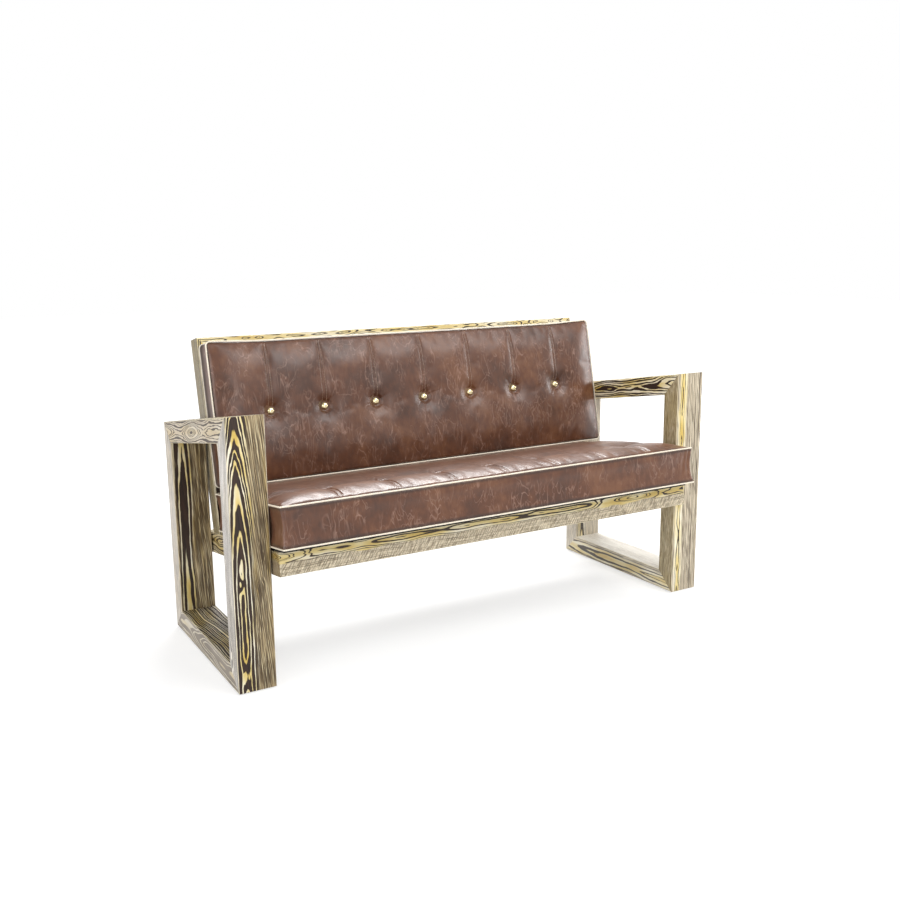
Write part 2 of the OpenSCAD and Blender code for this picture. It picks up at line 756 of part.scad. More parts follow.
module at_cushion_buttons() {
    for (x = seam_places) translate([x, button_height, 0]) children();
}

module at_buttons() {
    translate([0, -back_board_thickness, back_cushion_bottom]) rotate([90, 0, 0])
        at_cushion_buttons() children();
}

module tie_bore() {
    translate([0, 0, -back_board_thickness - overrun])
        cylinder(r = tie_diameter / 2 + bore_clearance, h = button_seat + back_board_thickness);
}

module back_cushion() color(leather_brown) placed() in_back_cushion() difference() {
    cushion_form(back_cushion_height, back_cushion_thickness, back_corner, button_height,
        back_cushion_height, back_tuft_dip, 0);
    foam_core(back_cushion_height, back_cushion_thickness, 0);
    at_cushion_buttons() {
        tie_bore();
        translate([0, 0, foam_top - overrun]) cylinder(r = shank_diameter / 2 + bore_clearance,
            h = button_seat - foam_top + 2 * overrun);
        translate([0, 0, button_seat]) cylinder(r = button_diameter / 2 + soft_clearance,
            h = crown + overrun);
    }
}

module back_foam() color(foam_yellow) placed() in_back_cushion() difference() {
    foam_core(back_cushion_height, back_cushion_thickness, bore_clearance);
    at_cushion_buttons() tie_bore();
}

module back_front_piping() color(piping_cream) placed() in_back_cushion()
    piping_loop(back_cushion_height, back_corner, back_cushion_thickness - piping_radius);

module back_rear_piping() color(piping_cream) placed() in_back_cushion()
    piping_loop(back_cushion_height, back_corner, piping_radius);

// A domed cap on a short shank
module tuft_buttons() color(brass_gold) placed() in_back_cushion() at_cushion_buttons() {
    dome_radius = (pow(button_diameter / 2, 2) + pow(button_dome, 2)) / (2 * button_dome);
    intersection() {
        translate([0, 0, button_seat + button_dome - dome_radius]) sphere(dome_radius);
        translate([0, 0, button_seat]) cylinder(r = dome_radius, h = button_dome + overrun);
    }
    translate([0, 0, foam_top]) cylinder(d = shank_diameter, h = button_seat - foam_top);
}

module tuft_ties() color(twine_white) placed() in_back_cushion() at_cushion_buttons() {
    back = -back_board_thickness - tie_washer_thickness;
    translate([0, 0, back]) cylinder(d = tie_diameter, h = foam_top - back);
    translate([0, 0, back - knot_height]) cylinder(d = knot_diameter, h = knot_height);
}

module tie_washers() color(steel_grey) placed() in_back_cushion() at_cushion_buttons()
    translate([0, 0, -back_board_thickness - tie_washer_thickness])
        ring(tie_washer_diameter, tie_diameter / 2 + bore_clearance, tie_washer_thickness);

left_front_leg();
left_arm_rail();
left_rear_leg();
left_floor_rail();
right_front_leg();
right_arm_rail();
right_rear_leg();
right_floor_rail();
left_floor_strip();
right_floor_strip();
arm_frame_dowels();
front_seat_rail();
rear_seat_rail();
left_side_rail();
right_side_rail();
left_cross_rail();
right_cross_rail();
seat_frame_dowels();
seat_board();
seat_board_screws();
left_back_stile();
right_back_stile();
back_top_rail();
back_bottom_rail();
back_frame_dowels();
back_board();
back_board_screws();
frame_bolts();
bolt_washers();
frame_spacers();
leg_sleeves();
seat_cushion();
seat_foam();
seat_top_piping();
seat_bottom_piping();
back_cushion();
back_foam();
back_front_piping();
back_rear_piping();
tuft_buttons();
tuft_ties();
tie_washers();
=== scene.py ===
import math
from dataclasses import dataclass

import bpy
import numpy as np
from mathutils import Matrix, Vector


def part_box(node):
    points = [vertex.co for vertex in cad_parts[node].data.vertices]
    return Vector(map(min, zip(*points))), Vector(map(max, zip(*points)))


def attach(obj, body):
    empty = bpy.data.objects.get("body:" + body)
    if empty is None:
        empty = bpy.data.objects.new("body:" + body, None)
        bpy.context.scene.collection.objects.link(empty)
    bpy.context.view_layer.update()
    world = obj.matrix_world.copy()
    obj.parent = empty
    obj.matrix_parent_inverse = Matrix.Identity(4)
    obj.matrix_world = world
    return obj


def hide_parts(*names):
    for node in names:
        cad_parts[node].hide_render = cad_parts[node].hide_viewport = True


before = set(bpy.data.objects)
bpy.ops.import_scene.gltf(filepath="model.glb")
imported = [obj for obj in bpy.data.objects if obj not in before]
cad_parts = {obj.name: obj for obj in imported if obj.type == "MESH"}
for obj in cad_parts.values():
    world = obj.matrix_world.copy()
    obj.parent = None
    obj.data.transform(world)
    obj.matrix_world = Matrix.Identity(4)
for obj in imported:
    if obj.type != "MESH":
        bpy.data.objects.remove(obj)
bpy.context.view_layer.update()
scene = bpy.context.scene

# Sizes of the bench, as the CAD model has them
TO_MM = 1000
BEAM_WIDTH = 0.092
BEAM = 0.056
RAIL = 0.056
SIDE_DEPTH = 0.510
ARM_FRONT = 0.644
ARM_REAR = 0.562
BAY_HALF = 0.608
RAIL_HALF = 0.604
OUTER_HALF = 0.700
FLOOR_STRIP = 0.003
SEAT_SETBACK = 0.045
SEAT_FRAME_HEIGHT = 0.279
SEAT_FRAME_DEPTH = 0.462
CROSS_RAIL_PLACES = (-0.2273, 0.1713)
BACK_FOOT_DEPTH = 0.39283
BACK_FOOT_HEIGHT = 0.27172
BACK_LENGTH = 0.515
BOTTOM_RAIL_RISE = 0.137
SEAT_OVERHANG = 0.046
SEAT_BOARD_TOP = 0.064
BACK_BOARD = 0.020
BACK_CUSHION_RISE = 0.11985
CUSHION_HALF = 0.6077
SEAT_TILT = math.radians(8.3)
BACK_RAKE = math.radians(11.9)
PIPING_RADIUS = 0.002
BUTTON_RADIUS = 0.011
BUTTON_DOME = 0.0065
CROWN = 0.018
PANELS = 8
PANEL = 2 * CUSHION_HALF / PANELS
SEAMS = [-CUSHION_HALF + k * PANEL for k in range(1, PANELS)]

# The arm frames' front faces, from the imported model; the origin is under the bench's middle
FRONT_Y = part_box("left_front_leg")[0][1]
MIDDLE_Y = -FRONT_Y
REAR_Y = SIDE_DEPTH - MIDDLE_Y
RIGHTWARD = Vector((1, 0, 0))
UPWARD = Vector((0, 0, 1))
BACKWARD = Vector((0, 1, 0))
ARM_SLOPE = math.atan((ARM_FRONT - ARM_REAR) / SIDE_DEPTH)
ARM_UP = Vector((0, math.sin(ARM_SLOPE), math.cos(ARM_SLOPE)))
ARM_MIDDLE = ARM_FRONT - BEAM / 2 / math.cos(ARM_SLOPE)
LEG_X = OUTER_HALF - BEAM_WIDTH / 2
STILE_X = RAIL_HALF - RAIL / 2
SEAT_ORIGIN = Vector((0, -SEAT_SETBACK - MIDDLE_Y, SEAT_FRAME_HEIGHT))
SEAT_BACKWARD = Vector((0, math.cos(SEAT_TILT), -math.sin(SEAT_TILT)))
SEAT_UP = Vector((0, math.sin(SEAT_TILT), math.cos(SEAT_TILT)))
SEAT_RAIL_MIDDLE = SEAT_ORIGIN + RAIL / 2 * SEAT_UP
BACK_FOOT = Vector((0, BACK_FOOT_DEPTH - MIDDLE_Y, BACK_FOOT_HEIGHT))
BACK_BACKWARD = Vector((0, math.cos(BACK_RAKE), -math.sin(BACK_RAKE)))
BACK_UP = Vector((0, math.sin(BACK_RAKE), math.cos(BACK_RAKE)))


def new_object(name, data):
    """An object with this data, in the scene."""
    made = bpy.data.objects.new(name, data)
    scene.collection.objects.link(made)
    return made


# Camera at the photograph's viewing angle
def make_camera():
    place = (-1.3568, -2.3295, 1.0019)
    yaw = math.radians(30.26)
    pitch = math.radians(-11.46)
    roll = math.radians(-0.61)
    forward = Vector((math.sin(yaw) * math.cos(pitch), math.cos(yaw) * math.cos(pitch),
                      math.sin(pitch)))
    right = Vector((math.cos(yaw), -math.sin(yaw), 0))
    up = right.cross(forward)
    right_rolled = math.cos(roll) * right + math.sin(roll) * up
    up_rolled = math.cos(roll) * up - math.sin(roll) * right
    data = bpy.data.cameras.new("photo_view")
    data.lens = 40.20
    data.sensor_width = 36
    data.clip_start = 0.05
    data.clip_end = 60
    camera = new_object("photo_view", data)
    axes = Matrix((right_rolled, up_rolled, -forward)).transposed()
    camera.matrix_world = Matrix.Translation(place) @ axes.to_4x4()
    scene.camera = camera


make_camera()
scene.view_settings.view_transform = "Standard"


# Nodes and colours. These kinds of node come often, and so do the Mix node's sockets
MATHS = "ShaderNodeMath"
VECTORS = "ShaderNodeVectorMath"
MAPPING = "ShaderNodeMapping"
RANGE = "ShaderNodeMapRange"
MIX = "ShaderNodeMix"
NOISE = "ShaderNodeTexNoise"
RAMP = "ShaderNodeValToRGB"
MIX_AMOUNT = 0
MIX_A = 6
MIX_B = 7
MIXED = 2


def linear(code):
    """The linear colour of an sRGB hex code."""
    parts = [int(code[k:k + 2], 16) / 255 for k in (1, 3, 5)]
    return [c / 12.92 if c <= 0.04045 else ((c + 0.055) / 1.055) ** 2.4 for c in parts] + [1]


def add(tree, kind, inputs=(), out=0, stops=(), **settings):
    """Adds a node with its settings and links, and gives one of its outputs.

    Inputs are values or other nodes' outputs: a tuple fills the first sockets in order, and a
    dict names its sockets. Stops are a colour ramp's places and hex colours."""
    made = tree.nodes.new(kind)
    for name, value in settings.items():
        setattr(made, name, value)
    if stops:
        elements = made.color_ramp.elements
        while len(elements) < len(stops):
            elements.new(0.5)
        for element, (place, code) in zip(elements, stops):
            element.position = place
            element.color = linear(code)
    if not isinstance(inputs, dict):
        inputs = dict(enumerate(inputs))
    for place, value in inputs.items():
        if isinstance(value, bpy.types.NodeSocket):
            tree.links.new(value, made.inputs[place])
        else:
            made.inputs[place].default_value = value
    return made.outputs[out] if made.outputs else None


def new_material(name):
    """An empty material with its Principled shader: the material, its tree and the shader."""
    material = bpy.data.materials.new(name)
    material.use_nodes = True
    shader = material.node_tree.nodes["Principled BSDF"]
    return material, material.node_tree, shader


def millimetres(tree):
    """Object coordinates in millimetres."""
    place = add(tree, "ShaderNodeTexCoord", out="Object")
    return add(tree, MAPPING, {"Vector": place, "Scale": (TO_MM, TO_MM, TO_MM)})


def dress(node, material):
    """Gives a CAD node its one material."""
    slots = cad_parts[node].data.materials
    slots.clear()
    slots.append(material)


# Burnt and brushed pine: soft growth bands burnt dark, hard bands left yellow
def pine_grain():
    """Node group with the growth bands of one beam, in the beam's own axes and millimetres."""
    tree = bpy.data.node_groups.new("pine_grain", "ShaderNodeTree")
    face = tree.interface
    for name in ("Place", "Sweep"):
        face.new_socket(name, in_out="INPUT", socket_type="NodeSocketVector")
    for name in ("Wave", "Heart", "Depth", "Taper", "Straight", "Ring", "Lift", "Seed", "Bold",
                 "Blend", "Dark", "Ash", "Slant", "Dash"):
        face.new_socket(name, in_out="INPUT", socket_type="NodeSocketFloat")
    face.new_socket("Color", in_out="OUTPUT", socket_type="NodeSocketColor")
    for name in ("Burnt", "Streak"):
        face.new_socket(name, in_out="OUTPUT", socket_type="NodeSocketFloat")
    given = tree.nodes.new("NodeGroupInput").outputs

    def stretched_noise(spacing, seed_shift, detail, out=0):
        """Noise whose lumps measure spacing millimetres along the beam's three axes."""
        shrunk = add(tree, VECTORS, (given["Place"], spacing), operation="DIVIDE")
        seed = add(tree, MATHS, (given["Seed"], seed_shift), operation="ADD")
        return add(tree, NOISE, {"Vector": shrunk, "W": seed, "Scale": 1, "Detail": detail},
                   out=out, noise_dimensions="4D")

    # The beam's line wanders through the tree, and the bands are ragged
    centre = (0.5, 0.5, 0.5)
    lumps = add(tree, "ShaderNodeCombineXYZ", (75.0, 75.0, given["Wave"]))
    wander = stretched_noise(lumps, 0.0, 1, out="Color")
    wander = add(tree, VECTORS, (wander, centre), operation="SUBTRACT")
    swept = add(tree, VECTORS, (wander, given["Sweep"], given["Place"]),
                operation="MULTIPLY_ADD")
    ragged = stretched_noise((7, 7, 40), 3.1, 2, out="Color")
    ragged = add(tree, VECTORS, (ragged, centre), operation="SUBTRACT")
    swept = add(tree, VECTORS, (ragged, (3.4, 3.4, 0), swept), operation="MULTIPLY_ADD")
    axes = add(tree, "ShaderNodeSeparateXYZ", (swept,)).node.outputs
    sideways = add(tree, MATHS, (axes[0], given["Heart"]), operation="SUBTRACT")
    sideways = add(tree, MATHS, (sideways,), operation="ABSOLUTE")
    # Above the straight length the beam leaves the tree's heart at the taper's slope
    bend = 60.0
    run = add(tree, MATHS, (axes[2], given["Straight"]), operation="SUBTRACT")
    eased = add(tree, MATHS, (run, run, bend * bend), operation="MULTIPLY_ADD")
    eased = add(tree, MATHS, (eased,), operation="SQRT")
    run = add(tree, MATHS, (run, eased), operation="ADD")
    run = add(tree, MATHS, (run, 0.5), operation="MULTIPLY")
    inward = add(tree, MATHS, (run, given["Taper"], given["Depth"]), operation="MULTIPLY_ADD")
    inward = add(tree, MATHS, (axes[1], inward), operation="ADD")
    inward = add(tree, MATHS, (inward,), operation="ABSOLUTE")
    # Bands between circles and diamonds, which gives the pointed arches of a flat-sawn face
    power = 1.5
    across_part = add(tree, MATHS, (sideways, power), operation="POWER")
    inward_part = add(tree, MATHS, (inward, power), operation="POWER")
    radius = add(tree, MATHS, (across_part, inward_part), operation="ADD")
    radius = add(tree, MATHS, (radius, 1 / power), operation="POWER")
    radius = add(tree, MATHS, (radius, given["Lift"]), operation="ADD")
    # Rings lie closer together away from the heart
    closing = add(tree, MATHS, (radius, 1 / 260, 1.0), operation="MULTIPLY_ADD")
    count = add(tree, MATHS, (radius, given["Ring"]), operation="DIVIDE")
    count = add(tree, MATHS, (count, closing), operation="MULTIPLY")
    jitter = add(tree, MATHS, (count, 0.55, given["Seed"]), operation="MULTIPLY_ADD")
    jitter = add(tree, NOISE, {"W": jitter, "Scale": 1, "Detail": 0}, noise_dimensions="1D")
    jitter = add(tree, MATHS, (jitter, 1.4), operation="MULTIPLY")
    count = add(tree, MATHS, (count, jitter), operation="ADD")
    phase = add(tree, MATHS, (count,), operation="FRACT")
    # The burnt share of a ring varies along the beam, and ends in a sharp late-wood line
    share = add(tree, MATHS, (stretched_noise((50, 50, 130), 6.4, 1), 0.6, -0.3),
                operation="MULTIPLY_ADD")
    share = add(tree, MATHS, (given["Dark"], share), operation="ADD")
    pale_share = add(tree, MATHS, (1.0, share), operation="SUBTRACT")
    pale_share = add(tree, MATHS, (pale_share, 0.2), operation="MAXIMUM")
    pale_share = add(tree, MATHS, (pale_share, 0.85), operation="MINIMUM")
    softness = 0.04
    onset = add(tree, MATHS, (pale_share, softness), operation="SUBTRACT")
    full = add(tree, MATHS, (pale_share, softness), operation="ADD")
    burnt = add(tree, RANGE, (phase, onset, full), interpolation_type="SMOOTHSTEP")
    ending = add(tree, RANGE, (phase, 0.94, 1.0), interpolation_type="SMOOTHSTEP")
    burnt = add(tree, MATHS, (burnt, ending), operation="SUBTRACT")
    # Bold bands near the heart, fine streaks and short slanting dashes away from it
    blur = add(tree, MATHS, (stretched_noise((16, 16, 60), 9.2, 2), 20.0, -10.0),
               operation="MULTIPLY_ADD")
    reach = add(tree, MATHS, (sideways, blur), operation="ADD")
    bold_end = add(tree, MATHS, (given["Bold"], given["Blend"]), operation="SUBTRACT")
    fine_start = add(tree, MATHS, (given["Bold"], given["Blend"]), operation="ADD")
    fine = add(tree, RANGE, (reach, bold_end, fine_start), interpolation_type="SMOOTHSTEP")
    bold = add(tree, MATHS, (1.0, fine), operation="SUBTRACT")
    slanted = add(tree, "ShaderNodeVectorRotate",
                  {"Vector": given["Place"], "Angle": given["Slant"]}, rotation_type="Y_AXIS")

    def slanted_noise(width, length, detail):
        """Noise in fine marks of one width, as long as length times the dash length."""
        long = add(tree, MATHS, (given["Dash"], length), operation="MULTIPLY")
        size = add(tree, "ShaderNodeCombineXYZ", (width, width, long))
        shrunk = add(tree, VECTORS, (slanted, size), operation="DIVIDE")
        return add(tree, NOISE, {"Vector": shrunk, "Scale": 1, "Detail": detail})

    streak = slanted_noise(2.2, 1.3, 2)
    dashes = add(tree, RANGE, (slanted_noise(2.4, 1.0, 1), 0.5, 0.55),
                 interpolation_type="SMOOTHSTEP")
    # Bands are a deep yellow where they close over the heart, and cream along their sides
    tone = add(tree, MATHS, (stretched_noise((28, 28, 110), 15.7, 2), 0.05), operation="ADD")
    yolk = add(tree, RANGE, (sideways, 9.0, 3.0), interpolation_type="SMOOTHSTEP")
    tone = add(tree, MATHS, (yolk, -0.12, tone), operation="MULTIPLY_ADD")
    yellow = add(tree, RAMP, (tone,), stops=((0.32, "#D3B560"), (0.44, "#E3CE8C"),
                                             (0.56, "#EEE2BC"), (0.7, "#F5EEDA")))
    charred = add(tree, RAMP, (streak,), stops=((0.3, "#140C08"), (0.7, "#3B271B")))
    bold_colour = add(tree, MIX, {MIX_AMOUNT: burnt, MIX_A: yellow, MIX_B: charred}, out=MIXED,
                      data_type="RGBA")
    # The fine grain is tan with golden patches, or pale where ash was rubbed in
    tan = add(tree, RAMP, (streak,), stops=((0.36, "#5F4D34"), (0.45, "#9C8763"),
                                            (0.53, "#C6B28A"), (0.62, "#DFD0AA")))
    golden = add(tree, RANGE, (stretched_noise((30, 30, 190), 21.9, 1), 0.5, 0.66, 0.0, 0.5),
                 interpolation_type="SMOOTHSTEP")
    tan = add(tree, MIX, {MIX_AMOUNT: golden, MIX_A: tan, MIX_B: linear("#BFA35C")}, out=MIXED,
              data_type="RGBA")
    pale = add(tree, RAMP, (streak,), stops=((0.28, "#A6967E"), (0.43, "#C9BBA3"),
                                             (0.57, "#DDD1BA"), (0.72, "#EBE1CD")))
    fine_colour = add(tree, MIX, {MIX_AMOUNT: given["Ash"], MIX_A: tan, MIX_B: pale}, out=MIXED,
                      data_type="RGBA")
    # Dashes, and growth lines that come and go, lie over the fine grain
    dashed = add(tree, MATHS, (dashes, 0.6), operation="MULTIPLY")
    fading = add(tree, RANGE, (stretched_noise((14, 14, 70), 18.3, 1), 0.36, 0.6, 0.2, 0.78),
                 interpolation_type="SMOOTHSTEP")
    lined = add(tree, MATHS, (burnt, fading), operation="MULTIPLY")
    for amount, code in ((dashed, "#4E3E2A"), (lined, "#3E2F1E")):
        fine_colour = add(tree, MIX, {MIX_AMOUNT: amount, MIX_A: fine_colour,
                                      MIX_B: linear(code)}, out=MIXED, data_type="RGBA")
    colour = add(tree, MIX, {MIX_AMOUNT: bold, MIX_A: fine_colour, MIX_B: bold_colour},
                 out=MIXED, data_type="RGBA")
    # Burnt wood lies lower and duller, fully in the bold bands and less in the fine marks
    depth = add(tree, MATHS, (bold, 0.6, 0.4), operation="MULTIPLY_ADD")
    depth = add(tree, MATHS, (burnt, depth), operation="MULTIPLY")
    dash_depth = add(tree, MATHS, (bold, -0.4, 0.4), operation="MULTIPLY_ADD")
    dash_depth = add(tree, MATHS, (dashes, dash_depth), operation="MULTIPLY")
    depth = add(tree, MATHS, (depth, dash_depth), operation="MAXIMUM")
    leave = tree.nodes.new("NodeGroupOutput")
    tree.links.new(colour, leave.inputs["Color"])
    tree.links.new(depth, leave.inputs["Burnt"])
    tree.links.new(streak, leave.inputs["Streak"])
    return tree


GRAIN = pine_grain()


def burnt_pine(node, across, depth, origin, heart=0.0, heart_depth=30.0, taper=0.05,
               straight=-60, ring=3.2, sweep=(12, 12), wave=230, seed=1.0, bold=24.0, blend=6.0,
               dark=0.5, ash=0.0, slant=0.1, painted_light=(0.1, 0.1), knots=(), pale="#C9BEB0",
               kept=0.76, dash=70):
    """Brushed, burnt and varnished pine: a raised hard grain, and a satin gloss.

    The beam's own axes: X across the face that shows, Y into the beam, Z along it, from the
    origin on that face. The show face and its sides are painted towards the colour pale by the
    two painted light shares given for them: a painted highlight where pale is light, a painted
    shade where it is dark. Kept is how much of the burnt bands' darkness stays under it. The
    fine marks lean by slant radians and are dash millimetres long."""
    material, tree, shader = new_material("burnt_pine_" + node)
    along = across.cross(depth)
    turn = Matrix((across, depth, along))
    coordinates = add(tree, "ShaderNodeTexCoord").node.outputs
    place = add(tree, MAPPING,
                {"Vector": coordinates["Object"], "Location": -TO_MM * (turn @ origin),
                 "Rotation": turn.to_euler("XYZ"), "Scale": (TO_MM, TO_MM, TO_MM)})
    # A knot lifts the bands about its middle into rings
    lift = 0.0
    for centre, size, height in knots:
        gap = add(tree, VECTORS, (place, centre), operation="SUBTRACT")
        gap = add(tree, VECTORS, (gap, size), operation="DIVIDE")
        gap = add(tree, VECTORS, (gap,), out="Value", operation="LENGTH")
        fall = add(tree, MATHS, (gap, 2.0), operation="POWER")
        fall = add(tree, MATHS, (fall, -1.0), operation="MULTIPLY")
        fall = add(tree, MATHS, (fall,), operation="EXPONENT")
        lift = add(tree, MATHS, (fall, height, lift), operation="MULTIPLY_ADD")
    group = tree.nodes.new("ShaderNodeGroup")
    group.node_tree = GRAIN
    tree.links.new(place, group.inputs["Place"])
    group.inputs["Sweep"].default_value = (sweep[0], sweep[1], 0)
    for name, value in (("Wave", wave), ("Heart", heart), ("Depth", heart_depth),
                        ("Taper", taper), ("Straight", straight), ("Ring", ring),
                        ("Seed", seed), ("Bold", bold), ("Blend", blend), ("Dark", dark),
                        ("Ash", ash), ("Slant", slant), ("Dash", dash)):
        group.inputs[name].default_value = value
    if knots:
        tree.links.new(lift, group.inputs["Lift"])
    grain = group.outputs
    # The show face and the sides are told apart by the surface's direction
    facing = []
    for axis in (across, depth, along):
        dot = add(tree, VECTORS, (coordinates["Normal"], axis), out="Value",
                  operation="DOT_PRODUCT")
        facing.append(add(tree, MATHS, (dot,), operation="ABSOLUTE"))
    # Painted highlight and shade by face direction, uneven in patches, weaker over burnt bands
    painted_light_share = add(tree, MATHS, (facing[1], painted_light[0]), operation="MULTIPLY")
    painted_light_share = add(tree, MATHS, (facing[0], painted_light[1], painted_light_share), operation="MULTIPLY_ADD")
    patchy = add(tree, MAPPING, {"Vector": place, "Scale": (1 / 50, 1 / 50, 0.006)})
    patchy = add(tree, NOISE, {"Vector": patchy, "Scale": 1, "Detail": 1})
    patchy = add(tree, RANGE, (patchy, 0.38, 0.62, 0.8, 1.1), interpolation_type="SMOOTHSTEP")
    painted_light_share = add(tree, MATHS, (painted_light_share, patchy), operation="MULTIPLY")
    spared = add(tree, MATHS, (grain["Burnt"], -kept, 1.0), operation="MULTIPLY_ADD")
    painted_light_share = add(tree, MATHS, (painted_light_share, spared), operation="MULTIPLY")
    # End grain drinks the stain; eased edges are painted pale, as wear and as a painted
    # highlight
    drunk = add(tree, MATHS, (facing[2], 0.6), operation="MULTIPLY")
    flat = add(tree, MATHS, (facing[0], facing[1]), operation="MAXIMUM")
    flat = add(tree, MATHS, (flat, facing[2]), operation="MAXIMUM")
    worn_and_lit_edge = add(tree, RANGE, (flat, 0.98, 0.85, 0.0, 0.55), interpolation_type="SMOOTHSTEP")
    colour = grain["Color"]
    for amount, code in ((painted_light_share, pale), (drunk, "#6E5733"), (worn_and_lit_edge, "#E9DDBB")):
        colour = add(tree, MIX, {MIX_AMOUNT: amount, MIX_A: colour, MIX_B: linear(code)},
                     out=MIXED, data_type="RGBA")
    tree.links.new(colour, shader.inputs["Base Color"])
    rough = add(tree, MATHS, (grain["Burnt"], 0.14, 0.38), operation="MULTIPLY_ADD")
    tree.links.new(rough, shader.inputs["Roughness"])
    relief = add(tree, MATHS, (grain["Burnt"], -0.8, grain["Streak"]),
                 operation="MULTIPLY_ADD")
    bump = add(tree, "ShaderNodeBump", {"Height": relief, "Distance": 0.0005, "Strength": 0.7})
    tree.links.new(bump, shader.inputs["Normal"])
    shader.inputs["IOR"].default_value = 1.5
    shader.inputs["Specular IOR Level"].default_value = 0.4
    dress(node, material)


# The beams, each with its own figure: lengths in millimetres. Their painted light shares and
# colour pale paint a highlight or a shade on the show face and the sides
burnt_pine("left_front_leg", RIGHTWARD, BACKWARD, Vector((-LEG_X, FRONT_Y, 0)),
           heart=-25, heart_depth=18.2, taper=0.098, straight=330, ring=6.6, sweep=(9, 7),
           seed=2.0, bold=27, blend=7, dark=0.72, painted_light=(0.0, 0.94), pale="#F5EFE8",
           kept=0.7,
           knots=(((-26, 0, 40), (10, 30, 34), 5.5), ((-27, 0, 262), (5, 30, 16), 5),
                  ((18, 0, 285), (13, 30, 34), 11), ((-46, 30, 80), (9, 15, 60), 16)))
burnt_pine("left_rear_leg", RIGHTWARD, BACKWARD, Vector((-LEG_X, REAR_Y - BEAM, 0)),
           heart=-20, heart_depth=8, taper=0.02, ring=15, sweep=(26, 14), wave=330, seed=5.0,
           bold=20, blend=4, dark=0.74, painted_light=(0.0, 0.7), pale="#DAD3CB")
burnt_pine("left_arm_rail", ARM_UP, RIGHTWARD, Vector((-OUTER_HALF, FRONT_Y, ARM_MIDDLE)),
           heart=-2, heart_depth=120, taper=0.004, ring=4.9, sweep=(18, 9), wave=100,
           seed=9.0, bold=90, dark=0.46, painted_light=(0.78, 0.3), pale="#AD9C87", kept=0.88,
           knots=(((-2, 0, 262), (20, 30, 48), -13), ((4, 0, 540), (20, 30, 66), -13)))
burnt_pine("left_floor_rail", UPWARD, RIGHTWARD,
           Vector((-OUTER_HALF, FRONT_Y, FLOOR_STRIP + BEAM / 2)),
           heart=2, heart_depth=40, taper=0.05, ring=9.0, sweep=(26, 34), wave=170, seed=13.0,
           bold=90, dark=0.72, painted_light=(0.74, 0.0), pale="#B9AE9F", kept=0.3)
burnt_pine("right_front_leg", RIGHTWARD, BACKWARD, Vector((LEG_X, FRONT_Y, 0)),
           heart=-26, heart_depth=2, taper=0.0, ring=8.5, sweep=(8, 40), wave=120, seed=21.0,
           bold=13, blend=4, dark=0.24, ash=0.9, painted_light=(0.0, 0.62), pale="#9C8850")
burnt_pine("right_rear_leg", RIGHTWARD, BACKWARD, Vector((LEG_X, REAR_Y - BEAM, 0)),
           heart=-24, heart_depth=6, taper=0.02, ring=5, sweep=(8, 20), seed=25.0,
           bold=16, dark=0.4, ash=0.6, painted_light=(0.35, 0.8), pale="#EDE5D8")
burnt_pine("right_arm_rail", ARM_UP, RIGHTWARD, Vector((BAY_HALF, FRONT_Y, ARM_MIDDLE)),
           heart=2, heart_depth=14, taper=0.03, ring=6, sweep=(22, 30), wave=130, seed=29.0,
           bold=40, dark=0.6, painted_light=(0.0, 0.0))
burnt_pine("right_floor_rail", UPWARD, RIGHTWARD,
           Vector((BAY_HALF, FRONT_Y, FLOOR_STRIP + BEAM / 2)),
           heart=-2, heart_depth=10, taper=0.02, ring=8, sweep=(14, 26), wave=180, seed=33.0,
           bold=20, blend=5, dark=0.3, ash=0.8, painted_light=(0.2, 0.97), pale="#FFFBF2", kept=0.45)
burnt_pine("front_seat_rail", SEAT_UP, SEAT_BACKWARD, SEAT_RAIL_MIDDLE,
           heart=17, heart_depth=4, taper=0.0, ring=6.4, sweep=(5, 40), wave=120, seed=37.0,
           bold=13, blend=2, dark=0.36, ash=0.8, slant=0.95, dash=24, painted_light=(0.1, 0.1),
           pale="#F1E4BC",
           knots=(((17, 0, 622), (9, 30, 85), 36), ((17, 0, -425), (9, 30, 90), 36)))
burnt_pine("rear_seat_rail", SEAT_UP, -SEAT_BACKWARD,
           SEAT_RAIL_MIDDLE + SEAT_FRAME_DEPTH * SEAT_BACKWARD,
           heart=4, heart_depth=14, taper=0.014, ring=4.4, sweep=(10, 30), seed=41.0,
           bold=22, dark=0.45)
for side, x in (("left", -RAIL_HALF), ("right", RAIL_HALF - RAIL)):
    burnt_pine(side + "_side_rail", SEAT_UP, RIGHTWARD, SEAT_RAIL_MIDDLE + x * RIGHTWARD,
               heart=6, heart_depth=30, taper=0.03, ring=4.6, sweep=(20, 22), wave=120,
               seed=45.0 + x, bold=34, dark=0.55, painted_light=(0.5, 0.1), pale="#866B3E")
for side, x in zip(("left", "right"), CROSS_RAIL_PLACES):
    burnt_pine(side + "_cross_rail", SEAT_UP, RIGHTWARD, SEAT_RAIL_MIDDLE + x * RIGHTWARD,
               heart=6, heart_depth=30, taper=0.03, ring=4.6, sweep=(20, 22), wave=120,
               seed=49.0 + x, bold=34, dark=0.45)
for side, x in (("left", -STILE_X), ("right", STILE_X)):
    burnt_pine(side + "_back_stile", RIGHTWARD, BACK_BACKWARD, BACK_FOOT + x * RIGHTWARD,
               heart=-12, heart_depth=20, taper=0.03, ring=5.5, sweep=(10, 10),
               seed=53.0 + x, bold=18, dark=0.55, painted_light=(0.0, 0.75), pale="#7A6B49")
burnt_pine("back_top_rail", BACK_UP, BACK_BACKWARD,
           BACK_FOOT + (BACK_LENGTH - RAIL / 2) * BACK_UP,
           heart=20, heart_depth=1, taper=0.0, ring=5.2, sweep=(6, 70), wave=95, seed=57.0,
           bold=40, dark=0.42, painted_light=(0.12, 0.1), pale="#F1E6C6")
burnt_pine("back_bottom_rail", BACK_UP, -BACK_BACKWARD,
           BACK_FOOT + BOTTOM_RAIL_RISE * BACK_UP + RAIL * BACK_BACKWARD,
           heart=4, heart_depth=14, taper=0.02, ring=4.4, sweep=(10, 24), seed=61.0,
           bold=24, dark=0.45)


